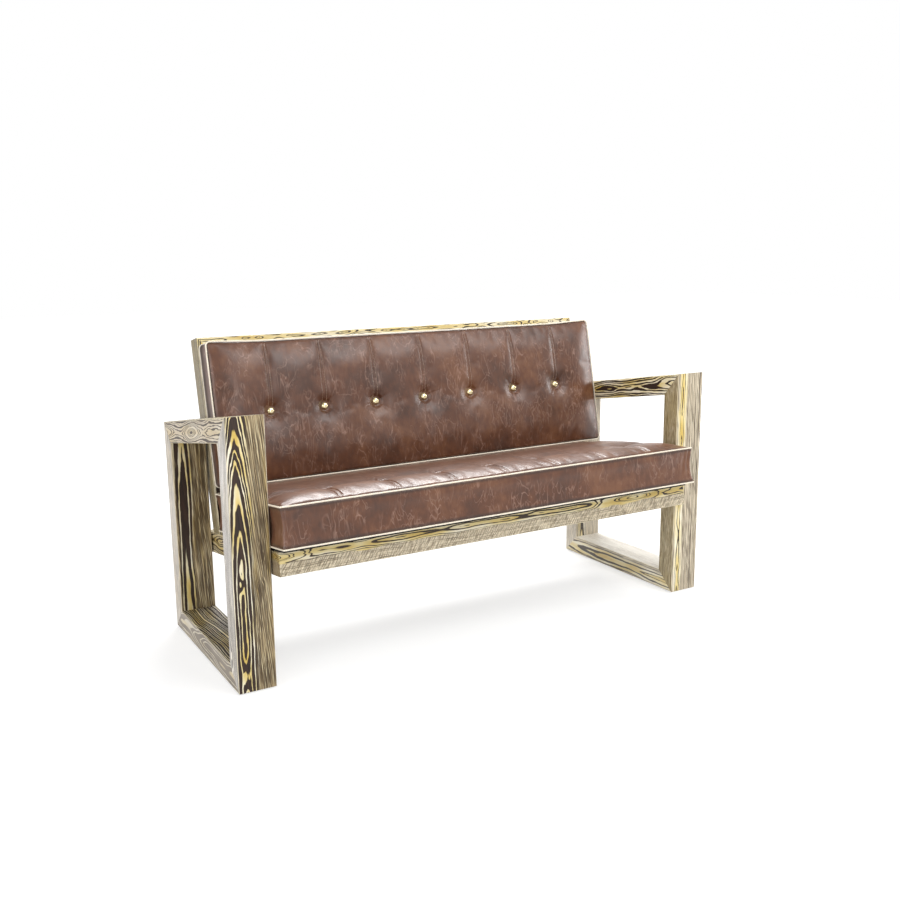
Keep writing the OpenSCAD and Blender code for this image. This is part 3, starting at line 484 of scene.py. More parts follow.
# Glossy antique leather cloth: calendered vinyl with a printed, cracked wax look
def antique_leather():
    material, tree, shader = new_material("antique_leather_cloth")
    place = millimetres(tree)

    def lumps(size, detail, shift, twist=0.0):
        """Noise whose lumps measure size millimetres."""
        shrunk = add(tree, MAPPING, {"Vector": place, "Location": (shift, 0, 0),
                                     "Scale": [1 / s for s in size]})
        return add(tree, NOISE, {"Vector": shrunk, "Scale": 1, "Detail": detail,
                                 "Distortion": twist})

    def veins(field, width, strength):
        """Thin lines where a noise crosses its middle."""
        gap = add(tree, MATHS, (field, 0.5), operation="SUBTRACT")
        gap = add(tree, MATHS, (gap,), operation="ABSOLUTE")
        return add(tree, RANGE, (gap, 0.0, width, strength, 0.0),
                   interpolation_type="SMOOTHSTEP")

    cloud = add(tree, MATHS, (lumps((90, 90, 90), 3, 0.0), 0.7), operation="MULTIPLY")
    mottle = lumps((12, 12, 20), 3, 7.0)
    tone = add(tree, MATHS, (mottle, 0.3, cloud), operation="MULTIPLY_ADD")
    colour = add(tree, RAMP, (tone,),
                 stops=((0.36, "#462716"), (0.5, "#59331D"), (0.64, "#6C442A")))
    # Pale creases of two sizes run up and down the hide, in patches
    wide = veins(lumps((34, 34, 105), 2, 3.0, 0.8), 0.022, 0.26)
    thin = veins(lumps((15, 15, 52), 2, 11.0, 0.5), 0.03, 0.2)
    patch = add(tree, RANGE, (lumps((50, 50, 80), 2, 17.0), 0.38, 0.6),
                interpolation_type="SMOOTHSTEP")
    lines = add(tree, MATHS, (wide, thin), operation="ADD")
    lines = add(tree, MATHS, (lines, patch), operation="MULTIPLY")
    # Painted shade: the leather is darkened beside the piping, in the crease where shade falls
    seam_shade = add(tree, "ShaderNodeAttribute", out="Fac", attribute_name="seam_wax")
    seam_shade = add(tree, MATHS, (seam_shade, 0.85), operation="MULTIPLY")
    for amount, code in ((lines, "#B79483"), (seam_shade, "#170D09")):
        colour = add(tree, MIX, {MIX_AMOUNT: amount, MIX_A: colour, MIX_B: linear(code)},
                     out=MIXED, data_type="RGBA")
    tree.links.new(colour, shader.inputs["Base Color"])
    rough = add(tree, MATHS, (mottle, 0.1, 0.32), operation="MULTIPLY_ADD")
    tree.links.new(rough, shader.inputs["Roughness"])
    # The pebbled skin is about a millimetre; it is drawn a little coarser so that it shows
    pebble = add(tree, "ShaderNodeTexVoronoi", {"Vector": place, "Scale": 0.6},
                 feature="SMOOTH_F1")
    relief = add(tree, MATHS, (lines, 0.5), operation="MULTIPLY")
    relief = add(tree, MATHS, (pebble, 0.25, relief), operation="MULTIPLY_ADD")
    bump = add(tree, "ShaderNodeBump", {"Height": relief, "Distance": 0.0003, "Strength": 0.5})
    tree.links.new(bump, shader.inputs["Normal"])
    for name, value in (("IOR", 1.5), ("Specular IOR Level", 0.36), ("Sheen Weight", 0.16),
                        ("Sheen Roughness", 0.4), ("Sheen Tint", linear("#F0C8B4")),
                        ("Coat Weight", 0.4), ("Coat Roughness", 0.34)):
        shader.inputs[name].default_value = value
    return material


LEATHER = antique_leather()


def plain_finish(name, pale, deep, size, rough, metallic=0.0, relief=0.0002, cells=False):
    """A finish with a fine two-tone texture whose lumps or cells measure size millimetres."""
    material, tree, shader = new_material(name)
    shrunk = add(tree, MAPPING, {"Vector": millimetres(tree), "Scale": [1 / s for s in size]})
    if cells:
        field = add(tree, "ShaderNodeTexVoronoi", {"Vector": shrunk, "Scale": 1},
                    feature="SMOOTH_F1")
    else:
        field = add(tree, NOISE, {"Vector": shrunk, "Scale": 1, "Detail": 3})
    colour = add(tree, RAMP, (field,), stops=((0.3, deep), (0.7, pale)))
    tree.links.new(colour, shader.inputs["Base Color"])
    roughness = add(tree, MATHS, (field, 0.16, rough - 0.08), operation="MULTIPLY_ADD")
    tree.links.new(roughness, shader.inputs["Roughness"])
    bump = add(tree, "ShaderNodeBump", {"Height": field, "Distance": relief, "Strength": 0.6})
    tree.links.new(bump, shader.inputs["Normal"])
    shader.inputs["Metallic"].default_value = metallic
    return material


# Cream vinyl over a cord: smooth, satin, a little uneven in tone
PIPING_CLOTH = plain_finish("cream_vinyl_piping", "#F5EDDF", "#E6D9C0", (2.5, 2.5, 2.5), 0.38)
# Pressed and polished brass: a bright mirror, pale gold
BRASS = plain_finish("polished_brass", "#E4D6B0", "#C2B288", (6, 6, 6), 0.14, metallic=1.0,
                     relief=0.00002)
# Twisted nylon, paler than the cover it sews
THREAD = plain_finish("bonded_nylon_thread", "#D3B9A0", "#A98872", (0.6, 0.6, 0.6), 0.5)
# Non-woven dust cloth on the boards: black, dull and hairy
BOARD_CLOTH = plain_finish("black_bonded_board_cloth", "#2B2927", "#131211", (1.2, 1.2, 1.2),
                           0.9, relief=0.0005)
# Moulded rubber strips: dark, dull and faintly grained
RUBBER = plain_finish("moulded_rubber", "#2F2D2B", "#1F1D1C", (1.5, 1.5, 1.5), 0.75)
# Turned beech: pale, with short flecks along the dowel
BEECH = plain_finish("turned_beech", "#DFC79E", "#C19F6E", (1.2, 1.2, 14), 0.55)
# Zinc-plated steel: grey metal with a soft shine
ZINC = plain_finish("zinc_plated_steel", "#BFC1C4", "#94979A", (3, 3, 3), 0.32, metallic=1.0,
                    relief=0.00005)
# Cut foam: open cells of about a millimetre, yellow and quite dull
FOAM = plain_finish("cut_polyurethane_foam", "#EDE2AE", "#CFBF7F", (1.1, 1.1, 1.1), 0.95,
                    relief=0.0006, cells=True)
# Waxed twine: twisted, off-white, slightly shiny
TWINE = plain_finish("waxed_twine", "#E2DCCB", "#B9AF97", (0.5, 0.5, 1.6), 0.7)

for finish, nodes in (
        (BOARD_CLOTH, ("seat_board", "back_board")),
        (RUBBER, ("left_floor_strip", "right_floor_strip")),
        (BEECH, ("arm_frame_dowels", "seat_frame_dowels", "back_frame_dowels")),
        (ZINC, ("seat_board_screws", "back_board_screws", "frame_bolts", "bolt_washers",
                "frame_spacers", "leg_sleeves", "tie_washers")),
        (FOAM, ("seat_foam", "back_foam")),
        (TWINE, ("tuft_ties",))):
    for node in nodes:
        dress(node, finish)


# Cushions: each in its own axes, X along the bench, Y across the cushion, Z out of its face
def turned_about_x(angle):
    return np.array(Matrix.Rotation(angle, 3, "X"))


@dataclass
class Cushion:
    """A boxed cushion's sizes and its place on the bench."""

    name: str
    height: float
    thickness: float
    corner: float
    # How far the tufts' line lies from the near edge
    tuft: float
    # Pleats run from the tufts to the near edge, -1, or to the far edge, 1
    pleat_side: int
    # How far from a tuft a pleat starts
    pleat_start: float
    # How far a pleat bows aside
    pleat_bow: float
    # How far a pleat's grooves lie from its middle, at the tuft and at the edge
    pleat_spread: tuple
    # Reach and depth of the valley along each seam
    valley: tuple
    # Depth of the hollow round each tuft
    pull: float
    # Height of the slow unevenness of the face
    uneven: float
    # How far the far edge sags between its corners
    sag: float
    # Its axes on the bench, and the middle of its near lower edge
    turn: np.ndarray
    origin: Vector

    def past_tuft(self, y):
        """How far a place lies past the tufts' line, on the pleats' side."""
        return self.pleat_side * (y - self.tuft)

    def pleat_length(self):
        """From the tufts' line to the edge that the pleats run to."""
        return self.tuft if self.pleat_side < 0 else self.height - self.tuft

    def placed(self, points):
        """Points on the bench; the far edge sags between its corners, and seams waver."""
        points = np.array(points)
        x, y = points[:, 0], points[:, 1]
        between = climb(CUSHION_HALF - np.abs(x), over=0.16)
        lowered = self.sag * between * (y / self.height) ** 3
        above_board = climb(points[:, 2], over=0.02)
        points[:, 2] += waves(x, y, height=0.0005, length=0.17, seed=21) * above_board
        points[:, 1] = y - lowered
        return points @ self.turn.T + np.array(self.origin)

    def seam_z(self):
        """Height of the upper piping's middle."""
        return self.thickness - PIPING_RADIUS


SEAT = Cushion("seat_cushion", height=0.47999, thickness=0.100, corner=0.007, tuft=0.140,
               pleat_side=-1, pleat_start=0.004, pleat_bow=0.004,
               pleat_spread=(0.0048, 0.0060), valley=(0.036, 0.0017), pull=0.0066,
               uneven=0.0007, sag=0.0, turn=turned_about_x(-SEAT_TILT),
               origin=SEAT_ORIGIN - SEAT_OVERHANG * SEAT_BACKWARD + SEAT_BOARD_TOP * SEAT_UP)
BACK = Cushion("back_cushion", height=0.37615, thickness=0.061, corner=0.014, tuft=0.185,
               pleat_side=1, pleat_start=0.006, pleat_bow=0.0,
               pleat_spread=(0.0055, 0.0033), valley=(0.022, 0.0018), pull=0.013,
               uneven=0.0004, sag=0.005,
               turn=turned_about_x(-BACK_RAKE) @ turned_about_x(math.pi / 2),
               origin=BACK_FOOT - BACK_BOARD * BACK_BACKWARD + BACK_CUSHION_RISE * BACK_UP)
# The face starts this far in from the outline, in a groove this deep beside the piping
FACE_INSET = 0.0043
GROOVE = 0.0016
# The stuffed face stands this far above the upper piping's middle, before its crown
FACE_LIFT = 0.0003
# A button draws the stuffed face down by this much
BUTTON_HOLLOW = 0.015


def rounded(x, y, cushion, inset):
    """Places of a square-cornered sheet, drawn in to the cushion's rounded outline."""
    half = CUSHION_HALF - inset
    middle = cushion.height / 2
    tall = middle - inset
    least_corner = 0.001
    corner = max(cushion.corner - inset, least_corner)
    over_x = np.clip((np.abs(x) - (half - corner)) / corner, 0, 1)
    over_y = np.clip((np.abs(y - middle) - (tall - corner)) / corner, 0, 1)
    round_x = over_x * np.sqrt(1 - over_y ** 2 / 2)
    round_y = over_y * np.sqrt(1 - over_x ** 2 / 2)
    new_x = x + np.sign(x) * corner * (round_x - over_x)
    new_y = y + np.sign(y - middle) * corner * (round_y - over_y)
    return new_x, new_y


def crown_rise(distance):
    """Share of the crown's height at a distance from the edge: steep first, then level."""
    run = 0.090
    roundness = 2.6
    return 1 - (1 - np.clip(distance / run, 0, 1)) ** roundness


def nearest_seam(x):
    """Where the seam between two panels lies that is nearest to x."""
    number = np.clip(np.round((x + CUSHION_HALF) / PANEL), 1, PANELS - 1)
    return -CUSHION_HALF + number * PANEL


def climb(value, over, start=0):
    """0 up to the start, then a smooth climb to 1 over a length."""
    share = np.clip((value - start) / over, 0, 1)
    return share * share * (3 - 2 * share)


def mound(distance, reach, height):
    """A smooth mound: its height at no distance, and nothing from its reach on."""
    share = distance / reach
    return height * np.clip(1 - share * share, 0, 1) ** 2


def bell(distance, width, height=1):
    """A bell curve: its height at no distance, fading over its width on both sides."""
    return height * np.exp(-(distance / width) ** 2)


def waves(x, y, height, length, seed):
    """Slow, even unevenness from a few crossing waves of about one height and length."""
    chance = np.random.default_rng(seed)
    total = np.zeros_like(x)
    crossing = 7
    for _ in range(crossing):
        angle = chance.uniform(0, math.pi)
        size = length * chance.uniform(0.7, 1.5)
        phase = chance.uniform(0, 2 * math.pi)
        total += np.sin(2 * math.pi * (x * math.cos(angle) + y * math.sin(angle)) / size + phase)
    return height * total / crossing


def edge_distance(cushion, x, y):
    """Distance from a place on the face to the nearest edge of the cushion's outline."""
    return np.minimum(np.minimum(y, cushion.height - y), CUSHION_HALF - np.abs(x))


def grid_faces(tall, wide):
    """Point numbers of a grid, and the four-sided faces between them."""
    index = np.arange(tall * wide).reshape(tall, wide)
    faces = np.stack([index[:-1, :-1], index[:-1, 1:], index[1:, 1:], index[1:, :-1]],
                     axis=-1).reshape(-1, 4)
    return index, faces.tolist()


def seat_fold_y(x):
    """The fold that runs across the seat from tuft to tuft, in shallow arcs."""
    arc_height = 0.009
    ahead = 0.002
    arc = np.abs(np.sin(math.pi * (x + CUSHION_HALF) / PANEL))
    return SEAT.tuft + arc_height * arc - ahead


def broad_form(cushion, x, y):
    """Height of the stuffed face: crown, wide valleys along seams, and tuft hollows."""
    edge = np.minimum(y, cushion.height - y)
    rise = crown_rise(CUSHION_HALF - np.abs(x)) * crown_rise(edge)
    gap = x - nearest_seam(x)
    far = np.sqrt(gap ** 2 + (y - cushion.tuft) ** 2)
    sewn = climb(cushion.past_tuft(y), start=-0.006, over=0.02)
    dip = np.maximum(sewn * mound(gap, *cushion.valley),
                     mound(far, reach=0.046, height=cushion.pull))
    if cushion is SEAT:
        dip = np.maximum(dip, mound(y - seat_fold_y(x), reach=0.034, height=0.0042))
    return rise * (CROWN - dip)


# The filling stops pushing after these steps, and may move the cover this far
SETTLING_STEPS = 20
STUFFING_CAP = 0.0042


def stuffed_sheet(cushion, spacing=0.0076):
    """A cloth sheet under the filling's pressure, held at piping, seams and tufts.

    Gives its rows, columns and points, in the cushion's axes."""
    columns = np.linspace(-CUSHION_HALF + FACE_INSET, CUSHION_HALF - FACE_INSET,
                          int(2 * CUSHION_HALF / spacing) + 1)
    rows = np.linspace(FACE_INSET, cushion.height - FACE_INSET,
                       int(cushion.height / spacing) + 1)
    x, y = np.meshgrid(columns, rows)
    start = np.stack([x, y, broad_form(cushion, x, y)], axis=-1)
    gap = np.abs(x - nearest_seam(x))
    tuft_reach = 0.009
    near_tuft = np.hypot(gap, y - cushion.tuft) < tuft_reach
    seam_width = 0.004
    fold_width = 0.0039
    held = near_tuft | ((gap < seam_width) & (cushion.past_tuft(y) > 0))
    if cushion is SEAT:
        held |= np.abs(y - seat_fold_y(x)) < fold_width
    held[[0, -1], :] = True
    held[:, [0, -1]] = True
    tall, wide = x.shape
    index, faces = grid_faces(tall, wide)
    mesh = bpy.data.meshes.new("stuffing")
    mesh.from_pydata(start.reshape(-1, 3).tolist(), [], faces)
    sheet = new_object("stuffing", mesh)
    pins = sheet.vertex_groups.new(name="held")
    pins.add(index[held].tolist(), 1.0, "REPLACE")
    cloth = sheet.modifiers.new("cloth", "CLOTH").settings
    cloth.quality = 6
    cloth.mass = 0.35
    cloth.tension_stiffness = 18
    cloth.compression_stiffness = 12
    cloth.shear_stiffness = 9
    cloth.bending_stiffness = 4
    cloth.shrink_min = -0.004
    cloth.use_pressure = True
    cloth.uniform_pressure_force = 4.0
    cloth.vertex_group_mass = "held"
    cloth.effector_weights.gravity = 0
    for step in range(1, SETTLING_STEPS + 1):
        scene.frame_set(step)
    settled = sheet.evaluated_get(bpy.context.evaluated_depsgraph_get())
    flat = np.zeros(tall * wide * 3, np.float32)
    settled.data.vertices.foreach_get("co", flat)
    scene.frame_set(1)
    bpy.data.objects.remove(sheet)
    moved = flat.reshape(tall, wide, 3).astype(float) - start
    reach = np.linalg.norm(moved, axis=-1, keepdims=True)
    moved *= np.minimum(1, STUFFING_CAP / np.maximum(reach, 1e-9))
    # The seat's plain rear part, under the back cushion, keeps its even crown
    if cushion is SEAT:
        moved *= 1 - climb(y, start=0.30, over=0.07)[..., None]
    return rows, columns, start + moved


def spline_weights(places, grid):
    """Weights of a smooth cubic spline through evenly spaced grid points."""
    count = len(grid)
    at = (np.clip(places, grid[0], grid[-1]) - grid[0]) / (grid[-1] - grid[0]) * (count - 1)
    cell = np.minimum(at.astype(int), count - 2)
    t = at - cell
    parts = [(1 - t) ** 3 / 6, (3 * t ** 3 - 6 * t ** 2 + 4) / 6,
             (-3 * t ** 3 + 3 * t ** 2 + 3 * t + 1) / 6, t ** 3 / 6]
    weights = np.zeros((len(places), count + 2))
    for shift, part in enumerate(parts):
        weights[np.arange(len(places)), cell + shift] += part
    # The points just past each end are set so that the spline ends at the grid's ends
    weights[:, 1] += 2 * weights[:, 0]
    weights[:, 2] -= weights[:, 0]
    weights[:, -2] += 2 * weights[:, -1]
    weights[:, -3] -= weights[:, -1]
    return weights[:, 1:-1]


def dense_places(low, high, centres, fine=0.0012, coarse=0.0045, reach=0.013, fade=0.03):
    """Places from low to high, fine within reach of the centres and coarse elsewhere."""
    places = [low]
    while places[-1] < high:
        here = places[-1]
        nearest = min(abs(here - c) for c in centres)
        share = min(1, max(0, nearest - reach) / fade)
        places.append(here + fine + (coarse - fine) * share)
    places = np.array(places[:-1] + [high])
    if places[-1] - places[-2] < fine / 2:
        places = np.delete(places, -2)
    return places


def pleat_course(cushion, y):
    """How far a pleat bows aside at y, and how far its grooves lie from its middle."""
    run = np.clip(cushion.past_tuft(y) / cushion.pleat_length(), 0, 1)
    at_tuft, at_edge = cushion.pleat_spread
    return cushion.pleat_bow * np.sin(math.pi * run), at_tuft + (at_edge - at_tuft) * run


def pleat_lines(x, y, cushion):
    """Two sewn grooves either side of a flat pleat, from the piping to each tuft."""
    past = cushion.past_tuft(y)
    sewn = climb(past, start=cushion.pleat_start, over=0.010)
    sewn *= climb(cushion.pleat_length() - past, start=0.006, over=0.014)
    bow, spread = pleat_course(cushion, y)
    gap = x - nearest_seam(x) - bow
    grooves = bell(np.abs(gap) - spread, width=0.0014, height=0.0020)
    trough = bell(gap, width=0.010, height=0.0010)
    return -sewn * (grooves + trough)


def pull_creases(x, y, centre_y, rays, seed):
    """Short creases that fan out from each tuft, each within its own range of degrees."""
    chance = np.random.default_rng(seed)
    total = np.zeros_like(x)
    for seam in SEAMS:
        for low, high in rays:
            angle = math.radians(chance.uniform(low, high))
            length = chance.uniform(0.030, 0.062)
            width = chance.uniform(0.0022, 0.0042)
            depth = chance.uniform(0.0005, 0.0012)
            curl = chance.uniform(-3.0, 3.0)
            dx = x - seam
            dy = y - centre_y
            along = dx * math.cos(angle) + dy * math.sin(angle)
            aside = -dx * math.sin(angle) + dy * math.cos(angle) - curl * along ** 2
            fade = climb(along, start=0.007, over=0.010) * climb(length - along, over=0.03)
            total -= fade * bell(aside, width, depth)
    return total


def face_details(cushion, x, y, z):
    """Sewn pleats, tuft hollows, creases and gathers on the stuffed face."""
    edge = edge_distance(cushion, x, y)
    inner = climb(edge, start=0.007, over=0.016)
    out = z + pleat_lines(x, y, cushion) * inner
    far = np.hypot(x - nearest_seam(x), y - cushion.tuft)
    out += inner * (waves(x, y, height=cushion.uneven, length=0.085, seed=4)
                    + waves(x, y, height=0.0002, length=0.030, seed=5))
    # Small gathers beside the piping
    gathers = waves(x, y, height=0.0003, length=0.021, seed=6)
    out += gathers * bell(edge - 0.012, width=0.009)
    if cushion is SEAT:
        out -= inner * bell(y - seat_fold_y(x), width=0.0028, height=0.0026)
        out -= bell(far, width=0.0065, height=0.0040)
        rays = ((18, 50), (130, 162), (65, 115), (195, 225), (315, 345))
        out += inner * pull_creases(x, y, SEAT.tuft, rays, seed=11)
    else:
        # The cover is flat under a button, and climbs from its rim to the stuffed face
        floor = CROWN - BUTTON_HOLLOW
        shoulder = climb(far, start=BUTTON_RADIUS - 0.001, over=0.0115)
        out = np.where(far < 2 * BUTTON_RADIUS, floor + (out - floor) * shoulder, out)
        rays = ((190, 215), (225, 250), (255, 285), (290, 315), (325, 350), (20, 50), (130, 160))
        out += inner * pull_creases(x, y, BACK.tuft, rays, seed=12)
    # The cover rolls down into a groove beside the piping
    roll_width = 0.0085
    rolled = np.clip(1 - (edge - FACE_INSET) / roll_width, 0, 1) ** 2.4
    return out + (-GROOVE - out) * rolled


def corner_folds(x, level, low, high):
    """Upright folds that run down the boxing from each front corner."""
    share = np.clip((high - level) / (high - low), 0, 1)
    spare = CUSHION_HALF - np.abs(x)
    total = np.zeros_like(x)
    fade = max(math.sin(math.pi * min(1, share + 0.12)) * (1 - 0.6 * share), 0)
    for start, lean, width, depth in ((0.009, 0.008, 0.0038, 0.0026),
                                      (0.021, 0.016, 0.0048, 0.0018),
                                      (0.036, 0.022, 0.0062, 0.0010)):
        aside = spare - start - lean * share
        total -= fade * bell(aside, width, depth)
        total += fade * bell(aside - 1.6 * width, width, 0.8 * depth)
    return total


# The cover round a piping, from the face to the boxing: each ring's inset from the outline,
# and its height from the piping's middle
NOTCH = ((0.0041, -0.0018), (0.0037, -0.0024), (0.0031, -0.0028), (0.0024, -0.0033),
         (0.0018, -0.0042))
# The boxing starts this far from the pipings' middles, and is drawn in by this much
BOXING_START = 0.0054
BOXING_INSET = 0.0016
BOXING_LEVELS = 15
# The underside's last rings: inset and height
UNDERSIDE = ((0.0060, 0.0006), (0.0074, 0.0002))


def boxing(cushion, ring_x, ring_y, level, low, high):
    """Moves one ring of the cover in or out, as the boxing between the pipings lies."""
    middle = cushion.height / 2
    # The boxing puffs out under the upper seam, and is drawn in most near the ends
    share = min(1, max(0, (high - level) / (high - low)))
    near_end = climb(np.abs(ring_x), start=0.45, over=0.15)
    drawn = (0.0022 + 0.0030 * near_end) * (4 * share * (1 - share)) ** 0.8
    drawn -= (1 - 0.6 * near_end) * bell(share - 0.2, width=0.13, height=0.0022)
    # Each side's move comes in smoothly over the last 30 mm before its corner
    start = 0.030
    fade = 0.028
    at_end = climb(np.abs(ring_x) - CUSHION_HALF + start, over=fade)
    at_side = climb(np.abs(ring_y - middle) - middle + start, over=fade)
    in_front = climb(start - ring_y, over=fade)
    ring_x = ring_x - np.sign(ring_x) * drawn * at_end
    ring_y = ring_y - np.sign(ring_y - middle) * drawn * at_side
    # A slow unevenness runs round the corners too
    across = ring_x * 0.83 + ring_y
    slack = math.sin(math.pi * share)
    puff = slack * waves(across, np.full_like(across, level * 0.4), height=0.0009,
                         length=0.055, seed=8)
    ring_x = ring_x + np.sign(ring_x) * puff * at_end
    ring_y = ring_y + (corner_folds(ring_x, level, low, high) - puff) * in_front
    return np.stack([ring_x, ring_y, np.full(len(ring_x), level)], axis=-1)


def cover(cushion):
    """The closed leather cover of a cushion, and a way to find places on its face."""
    columns = dense_places(-CUSHION_HALF + FACE_INSET, CUSHION_HALF - FACE_INSET,
                           [-CUSHION_HALF, *SEAMS, CUSHION_HALF])
    rows = dense_places(FACE_INSET, cushion.height - FACE_INSET,
                        [0, cushion.tuft, cushion.height])
    sheet_rows, sheet_columns, sheet = stuffed_sheet(cushion)
    by_row = spline_weights(rows, sheet_rows)
    by_column = spline_weights(columns, sheet_columns)
    form = np.einsum("ij,jkc,lk->ilc", by_row, sheet, by_column)
    x, y = np.meshgrid(columns, rows)
    lifted = face_details(cushion, x, y, form[..., 2])
    round_x, round_y = rounded(x, y, cushion, FACE_INSET)
    face = np.stack([round_x + form[..., 0] - x, round_y + form[..., 1] - y,
                     lifted + cushion.seam_z() + FACE_LIFT], axis=-1)
    tall, wide = x.shape
    index, faces = grid_faces(tall, wide)
    points = [face.reshape(-1, 3)]
    rim = np.concatenate([index[0, :-1], index[:-1, -1], index[-1, :0:-1], index[:0:-1, 0]])
    rim_x = x.reshape(-1)[rim]
    rim_y = y.reshape(-1)[rim]
    # Rings below the face: round the upper piping, down the boxing, round the lower piping
    top = cushion.seam_z()
    high = top - BOXING_START
    low = PIPING_RADIUS + BOXING_START
    rings = [(inset, top + height) for inset, height in NOTCH]
    for k in range(BOXING_LEVELS):
        rings.append((BOXING_INSET, high + (low - high) * k / (BOXING_LEVELS - 1)))
    rings += [(inset, PIPING_RADIUS - height) for inset, height in reversed(NOTCH)]
    rings += UNDERSIDE
    count = len(rim)
    before = rim
    start = tall * wide
    middle = cushion.height / 2
    for inset, level in rings:
        scale_x = (CUSHION_HALF - inset) / (CUSHION_HALF - FACE_INSET)
        scale_y = (middle - inset) / (middle - FACE_INSET)
        ring_x, ring_y = rounded(rim_x * scale_x, middle + (rim_y - middle) * scale_y,
                                 cushion, inset)
        points.append(boxing(cushion, ring_x, ring_y, level, low, high))
        now = np.arange(start, start + count)
        faces += np.stack([before, now, np.roll(now, -1), np.roll(before, -1)],
                          axis=-1).tolist()
        before = now
        start += count
    faces.append(before[::-1].tolist())
    mesh = bpy.data.meshes.new(cushion.name + "_cover")
    mesh.from_pydata(cushion.placed(np.concatenate(points)).tolist(), [], faces)
    mesh.shade_smooth()
    mesh.materials.append(LEATHER)
    # Painted shade gathers beside the pipings: on the face, and further down the back's boxing
    seam_shade = np.zeros(len(mesh.vertices), np.float32)
    beside = edge_distance(cushion, x, y) - FACE_INSET
    reach = 0.0042
    seam_shade[:tall * wide] = climb(reach - beside, over=reach).reshape(-1)
    reach = 0.004 if cushion is SEAT else 0.020
    for number, (_, level) in enumerate(rings):
        beside = min(abs(level - high), abs(level - low))
        first = tall * wide + number * count
        seam_shade[first:first + count] = 0.8 * climb(reach - beside, over=reach)
    layer = mesh.attributes.new("seam_wax", "FLOAT", "POINT")
    layer.data.foreach_set("value", seam_shade)

    def on_face(px, py):
        """Points on the face at places of its flat pattern."""
        i = np.clip(np.searchsorted(columns, px) - 1, 0, wide - 2)
        j = np.clip(np.searchsorted(rows, py) - 1, 0, tall - 2)
        s = ((px - columns[i]) / (columns[i + 1] - columns[i]))[:, None]
        t = ((py - rows[j]) / (rows[j + 1] - rows[j]))[:, None]
        return (face[j, i] * (1 - s) * (1 - t) + face[j, i + 1] * s * (1 - t)
                + face[j + 1, i] * (1 - s) * t + face[j + 1, i + 1] * s * t)

    return new_object(cushion.name + "_cover", mesh), on_face


# Geometry Nodes: pieces that repeat or follow a path
def node_tree(name, sockets):
    """A geometry tree with named inputs, its nodes' entry and its output node."""
    tree = bpy.data.node_groups.new(name, "GeometryNodeTree")
    tree.interface.new_socket("Geometry", in_out="INPUT", socket_type="NodeSocketGeometry")
    for socket, kind in sockets:
        tree.interface.new_socket(socket, in_out="INPUT", socket_type=kind)
    tree.interface.new_socket("Geometry", in_out="OUTPUT", socket_type="NodeSocketGeometry")
    entry = tree.nodes.new("NodeGroupInput").outputs
    return tree, entry, tree.nodes.new("NodeGroupOutput")


def finish_tree(tree, shape, leave):
    """Ends a tree: realised, shaded smooth, and with the material it is given."""
    entry = tree.nodes["Group Input"].outputs
    solid = add(tree, "GeometryNodeRealizeInstances", (shape,))
    solid = add(tree, "GeometryNodeSetShadeSmooth", {"Geometry": solid, "Shade Smooth": True})
    solid = add(tree, "GeometryNodeSetMaterial",
                {"Geometry": solid, "Material": entry["Material"]})
    tree.links.new(solid, leave.inputs[0])


def grown(name, points, edges, tree, values):
    """Runs a tree on a wire of points and edges, and gives the result as a plain mesh."""
    wire = bpy.data.meshes.new(name + "_wire")
    wire.from_pydata(np.asarray(points).tolist(), edges, [])
    carrier = new_object(name + "_wire", wire)
    modifier = carrier.modifiers.new("grow", "NODES")
    modifier.node_group = tree
    for item in tree.interface.items_tree:
        if item.item_type == "SOCKET" and item.in_out == "INPUT" and item.name in values:
            modifier[item.identifier] = values[item.name]
    bpy.context.view_layer.update()
    evaluated = carrier.evaluated_get(bpy.context.evaluated_depsgraph_get())
    mesh = bpy.data.meshes.new_from_object(evaluated)
    mesh.name = name
    bpy.data.objects.remove(carrier)
    return new_object(name, mesh)


def piping_tree():
    """A cord covered in a bias strip: a tube round a loop, with slight gathers."""
    tree, entry, leave = node_tree("piping", (
        ("Radius", "NodeSocketFloat"), ("Gathers", "NodeSocketFloat"),
        ("Gather length", "NodeSocketFloat"), ("Material", "NodeSocketMaterial")))
    path = add(tree, "GeometryNodeMeshToCurve", (entry["Geometry"],))
    profile = add(tree, "GeometryNodeCurvePrimitiveCircle",
                  {"Resolution": 12, "Radius": entry["Radius"]})
    tube = add(tree, "GeometryNodeCurveToMesh", {"Curve": path, "Profile Curve": profile})
    place = add(tree, "GeometryNodeInputPosition")
    shrunk = add(tree, VECTORS, {0: place, "Scale": entry["Gather length"]},
                 operation="SCALE")
    push = add(tree, NOISE, {"Vector": shrunk, "Scale": 1, "Detail": 1})
    push = add(tree, MATHS, (push, 0.5), operation="SUBTRACT")
    push = add(tree, MATHS, (push, entry["Gathers"]), operation="MULTIPLY")
    normal = add(tree, "GeometryNodeInputNormal")
    offset = add(tree, VECTORS, {0: normal, "Scale": push}, operation="SCALE")
    tube = add(tree, "GeometryNodeSetPosition", {"Geometry": tube, "Offset": offset})
    finish_tree(tree, tube, leave)
    return tree


